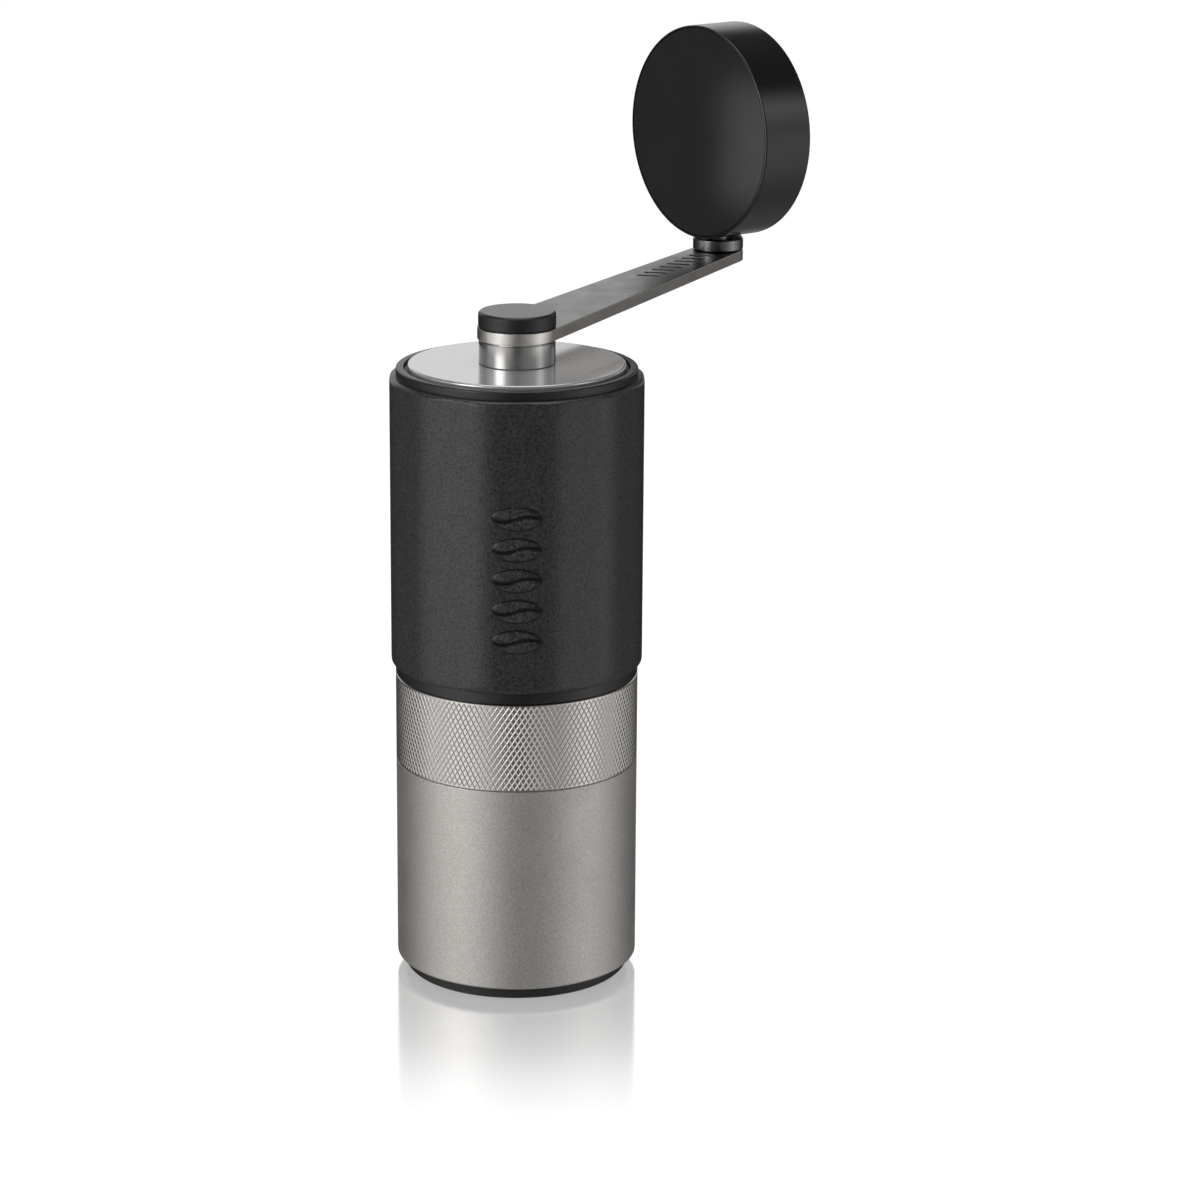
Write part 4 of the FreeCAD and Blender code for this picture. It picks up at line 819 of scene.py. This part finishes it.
def make_marks():
    """Dark filling in the arm's engraved bars."""

    def build(shape):
        for index in range(MARK_COUNT):
            middle = MARK_START + index * MARK_SPACING
            made = bmesh.ops.create_cube(shape, size=1.0)
            wide = MARK_WIDTH - 2 * MARK_GAP
            long = MARK_LENGTH - 2 * MARK_GAP
            size = Matrix.Diagonal((wide, long, MARK_FILLING, 1))
            height = ARM_TOP - MARK_DEPTH + MARK_GAP + MARK_FILLING / 2
            spot = Matrix.Translation((middle, 0, height))
            slant = Matrix.Rotation(MARK_SLANT, 4, "Z")
            turn = Matrix.Rotation(CRANK_TURN, 4, "Z")
            whole = Matrix.Scale(MM, 4) @ turn @ spot @ slant @ size
            bmesh.ops.transform(shape, matrix=whole, verts=made["verts"])

    mesh = mesh_from("arm_marks", build)
    add_piece("arm_marks", mesh, "crank", MARK_PAINT)


SOFT_EDGES = {"crank_hub": 0.12, "crank_arm": 0.15, "lower_housing": 0.15}


def soften(name, width_mm):
    """Round a CAD node's sharp edges a little, so that they catch the light."""
    node = frame["nodes"][name]
    weld = node.modifiers.new("weld", "WELD")
    weld.merge_threshold = 1e-6
    bevel = node.modifiers.new("soft_edges", "BEVEL")
    bevel.width = width_mm * MM
    bevel.segments = 2
    bevel.limit_method = "ANGLE"
    bevel.angle_limit = math.radians(35)
    bevel.harden_normals = True
    node.modifiers.new("soft_normals", "WEIGHTED_NORMAL").keep_sharp = True


# Studio ---------------------------------------------------------------------------

# The camera's angles are in radians. Its lens is for a sensor of the width given.
CAMERA_BACK = 782.7712
CAMERA_HEIGHT = 304.8354
CAMERA_PITCH = 0.27738
CAMERA_YAW = 0.022752
CAMERA_ROLL = 0.0071807
CAMERA_LENS = 113.996
CAMERA_SENSOR = 36.0


def make_camera():
    """Camera in front of the grinder, looking slightly down on it."""
    sin_pitch, cos_pitch = math.sin(CAMERA_PITCH), math.cos(CAMERA_PITCH)
    ahead = Vector((math.sin(CAMERA_YAW) * cos_pitch, math.cos(CAMERA_YAW) * cos_pitch, -sin_pitch))
    level_right = Vector((math.cos(CAMERA_YAW), -math.sin(CAMERA_YAW), 0))
    level_up = level_right.cross(ahead)
    right = level_right * math.cos(CAMERA_ROLL) + level_up * math.sin(CAMERA_ROLL)
    up = level_up * math.cos(CAMERA_ROLL) - level_right * math.sin(CAMERA_ROLL)
    data = bpy.data.cameras.new("camera")
    data.sensor_width = CAMERA_SENSOR
    data.lens = CAMERA_LENS
    data.clip_start = 0.01
    data.clip_end = 20.0
    camera = bpy.data.objects.new("camera", data)
    bpy.context.scene.collection.objects.link(camera)
    turn = Matrix((right, up, -ahead)).transposed().to_4x4()
    camera.matrix_world = Matrix.Translation((0, -CAMERA_BACK * MM, CAMERA_HEIGHT * MM)) @ turn
    bpy.context.scene.camera = camera


# Brightness of the studio by direction, in degrees from the front towards +X: below the
# horizon, and from the horizon up to the dark ceiling.
LOW_WALLS = [
    (-180, 0.45), (-158, 0.03), (-144, 0.03), (-110, 0.17), (-84, 0.8), (-59, 1.22),
    (-41, 1.12), (-29, 0.78), (-17, 0.34), (-4, 0.1), (4, 0.1), (13, 0.2), (27, 0.3),
    (42, 0.46), (56, 0.84), (71, 1.2), (92, 0.66), (121, 0.15), (150, 0.04), (158, 0.03),
    (180, 0.45),
]
HIGH_WALLS = [
    (-180, 1.0), (-160, 0.94), (-140, 0.5), (-110, 0.3), (-84, 0.8), (-59, 1.22), (-41, 1.12),
    (-29, 0.78), (-17, 0.34), (-4, 0.1), (4, 0.1), (13, 0.2), (27, 0.3), (42, 0.4),
    (56, 0.5), (71, 0.6), (92, 0.4), (121, 0.22), (140, 0.5), (160, 0.94), (180, 1.0),
]
GROUND = 0.35
CEILING = 0.05

# How steeply a direction rises, from -1 straight down to 1 straight up, where one
# brightness starts to blend into the next and where it has.
GROUND_BLEND = (-0.85, -0.45)
HORIZON_BLEND = (-0.06, 0.14)
CEILING_BLEND = (0.36, 0.58)


def world_math(tree, operation, first, second):
    """A maths node in the world's node tree; numbers and outputs are both taken."""
    made = tree.nodes.new("ShaderNodeMath")
    made.operation = operation
    for index, value in enumerate((first, second)):
        if isinstance(value, float):
            made.inputs[index].default_value = value
        else:
            tree.links.new(value, made.inputs[index])
    return made.outputs[0]


def wall_ramp(tree, share, levels):
    """Brightness round the horizon, blended softly between the listed directions."""
    ramp = tree.nodes.new("ShaderNodeValToRGB")
    ramp.color_ramp.interpolation = "EASE"
    stops = ramp.color_ramp.elements
    while len(stops) > 1:
        stops.remove(stops[0])
    for index, (degrees, level) in enumerate(levels):
        place = degrees / 360 + 0.5
        stop = stops[0] if index == 0 else stops.new(place)
        stop.position = place
        stop.color = (*grey(level), 1)
    tree.links.new(share, ramp.inputs["Fac"])
    return ramp.outputs["Color"]


def blend_by_rise(tree, rise, band, below, above):
    """Blend from one brightness to another as directions rise through a band."""
    share = tree.nodes.new("ShaderNodeMapRange")
    share.interpolation_type = "SMOOTHSTEP"
    share.inputs["From Min"].default_value = band[0]
    share.inputs["From Max"].default_value = band[1]
    tree.links.new(rise, share.inputs["Value"])
    mix = tree.nodes.new("ShaderNodeMix")
    mix.data_type = "RGBA"
    tree.links.new(share.outputs["Result"], mix.inputs["Factor"])
    for socket, value in ((mix.inputs[6], below), (mix.inputs[7], above)):
        if isinstance(value, float):
            socket.default_value = (*grey(value), 1)
        else:
            tree.links.new(value, socket)
    return mix.outputs[2]


def make_world():
    """White surroundings that the object sees as a studio with two soft side windows."""
    world = bpy.data.worlds.new("studio")
    world.use_nodes = True
    bpy.context.scene.world = world
    tree = world.node_tree
    direction = tree.nodes.new("ShaderNodeTexCoord").outputs["Generated"]
    parts = tree.nodes.new("ShaderNodeSeparateXYZ")
    tree.links.new(direction, parts.inputs[0])
    front = world_math(tree, "MULTIPLY", parts.outputs["Y"], -1.0)
    azimuth = world_math(tree, "ARCTAN2", parts.outputs["X"], front)
    turn = world_math(tree, "DIVIDE", azimuth, 2 * math.pi)
    share = world_math(tree, "ADD", turn, 0.5)
    low = wall_ramp(tree, share, LOW_WALLS)
    high = wall_ramp(tree, share, HIGH_WALLS)
    rise = parts.outputs["Z"]
    lower = blend_by_rise(tree, rise, GROUND_BLEND, GROUND, low)
    walls = blend_by_rise(tree, rise, HORIZON_BLEND, lower, high)
    studio = blend_by_rise(tree, rise, CEILING_BLEND, walls, CEILING)
    shade = tree.nodes["Background"]
    tree.links.new(studio, shade.inputs["Color"])
    white = tree.nodes.new("ShaderNodeBackground")
    white.inputs["Color"].default_value = (1, 1, 1, 1)
    seen = tree.nodes.new("ShaderNodeLightPath")
    choice = tree.nodes.new("ShaderNodeMixShader")
    tree.links.new(seen.outputs["Is Camera Ray"], choice.inputs["Fac"])
    tree.links.new(shade.outputs[0], choice.inputs[1])
    tree.links.new(white.outputs[0], choice.inputs[2])
    tree.links.new(choice.outputs[0], tree.nodes["World Output"].inputs["Surface"])


# Each lamp: name, place, the point it is aimed at, side, power in watts, and the beam's
# spread in degrees.
LAMPS = [
    ("sleeve_left", (-230, -170, 230), (-12, -12, 138), 260, 0.055, 40),
    ("sleeve_right", (250, -70, 230), (14, -10, 132), 260, 0.012, 40),
    ("overhead", (0, 60, 700), (0, 0, 130), 500, 1.6, 180),
    ("knob_glow", (22, 68, 165), (60, 61, 169), 28, 0.0008, 60),
]


def add_lamp(name, place_mm, target_mm, size_mm, power, spread):
    """Soft square lamp aimed at a point, which the camera doesn't see."""
    data = bpy.data.lights.new(name, "AREA")
    data.shape = "SQUARE"
    data.size = size_mm * MM
    data.energy = power
    data.spread = math.radians(spread)
    lamp = bpy.data.objects.new(name, data)
    bpy.context.scene.collection.objects.link(lamp)
    lamp.location = Vector(place_mm) * MM
    aim = (Vector(target_mm) - Vector(place_mm)).to_track_quat("-Z", "Y")
    lamp.rotation_euler = aim.to_euler()
    lamp.visible_camera = False


# The floor's share of mirror at distances from the grinder's axis.
FLOOR_RADIUS = 3000.0
MIRROR_FADE = [(24, 0.6), (36, 0.58), (52, 0.47), (70, 0.26), (90, 0.1), (115, 0.0)]


def make_floor():
    """Pale round floor with a faint reflection that fades away from the grinder."""
    paint = Paint("floor_paint", Roughness=0.9)
    cloud = paint.noise(paint.place(), 8.0, detail=2.0)
    paint.tint(paint.spread(cloud, 0, 1), grey(0.4), grey(0.42))
    paint.shader.inputs["Specular IOR Level"].default_value = 0.0
    paint.shader.inputs["Emission Color"].default_value = (1, 1, 1, 1)
    paint.shader.inputs["Emission Strength"].default_value = 0.935
    mirror = paint.node("ShaderNodeBsdfAnisotropic", Color=(1, 1, 1, 1), Roughness=0.1)
    far = MIRROR_FADE[-1][0]
    share = paint.spread(paint.axis_distance(), 0, 1, 0, far * MM)
    fade = paint.node("ShaderNodeValToRGB")
    stops = fade.color_ramp.elements
    stops[0].color = (*grey(MIRROR_FADE[0][1]), 1)
    stops[1].color = (0, 0, 0, 1)
    for reach, level in MIRROR_FADE[:-1]:
        stops.new(reach / far).color = (*grey(level), 1)
    paint.links.new(share, fade.inputs["Fac"])
    mix = paint.node("ShaderNodeMixShader")
    paint.links.new(fade.outputs["Color"], mix.inputs["Fac"])
    paint.links.new(paint.shader.outputs[0], mix.inputs[1])
    paint.links.new(mirror.outputs[0], mix.inputs[2])
    paint.links.new(mix.outputs[0], paint.nodes["Material Output"].inputs["Surface"])

    def build(shape):
        bmesh.ops.create_circle(shape, cap_ends=True, segments=96, radius=FLOOR_RADIUS * MM)

    floor = bpy.data.objects.new("floor", mesh_from("floor", build))
    bpy.context.scene.collection.objects.link(floor)
    floor.data.materials.append(paint.material)
    floor.visible_glossy = False
    floor.visible_diffuse = False


# The scene ------------------------------------------------------------------------

paint_cad_nodes()
make_cup()
make_knurled_ring()
make_sleeve()
make_beans()
make_top_ring()
make_lid_plate()
make_hub_cap()
make_knob()
make_collar()
make_marks()
for node_name, edge_width in SOFT_EDGES.items():
    soften(node_name, edge_width)
make_camera()
make_world()
for lamp_values in LAMPS:
    add_lamp(*lamp_values)
make_floor()

bpy.context.scene.view_settings.view_transform = "Standard"
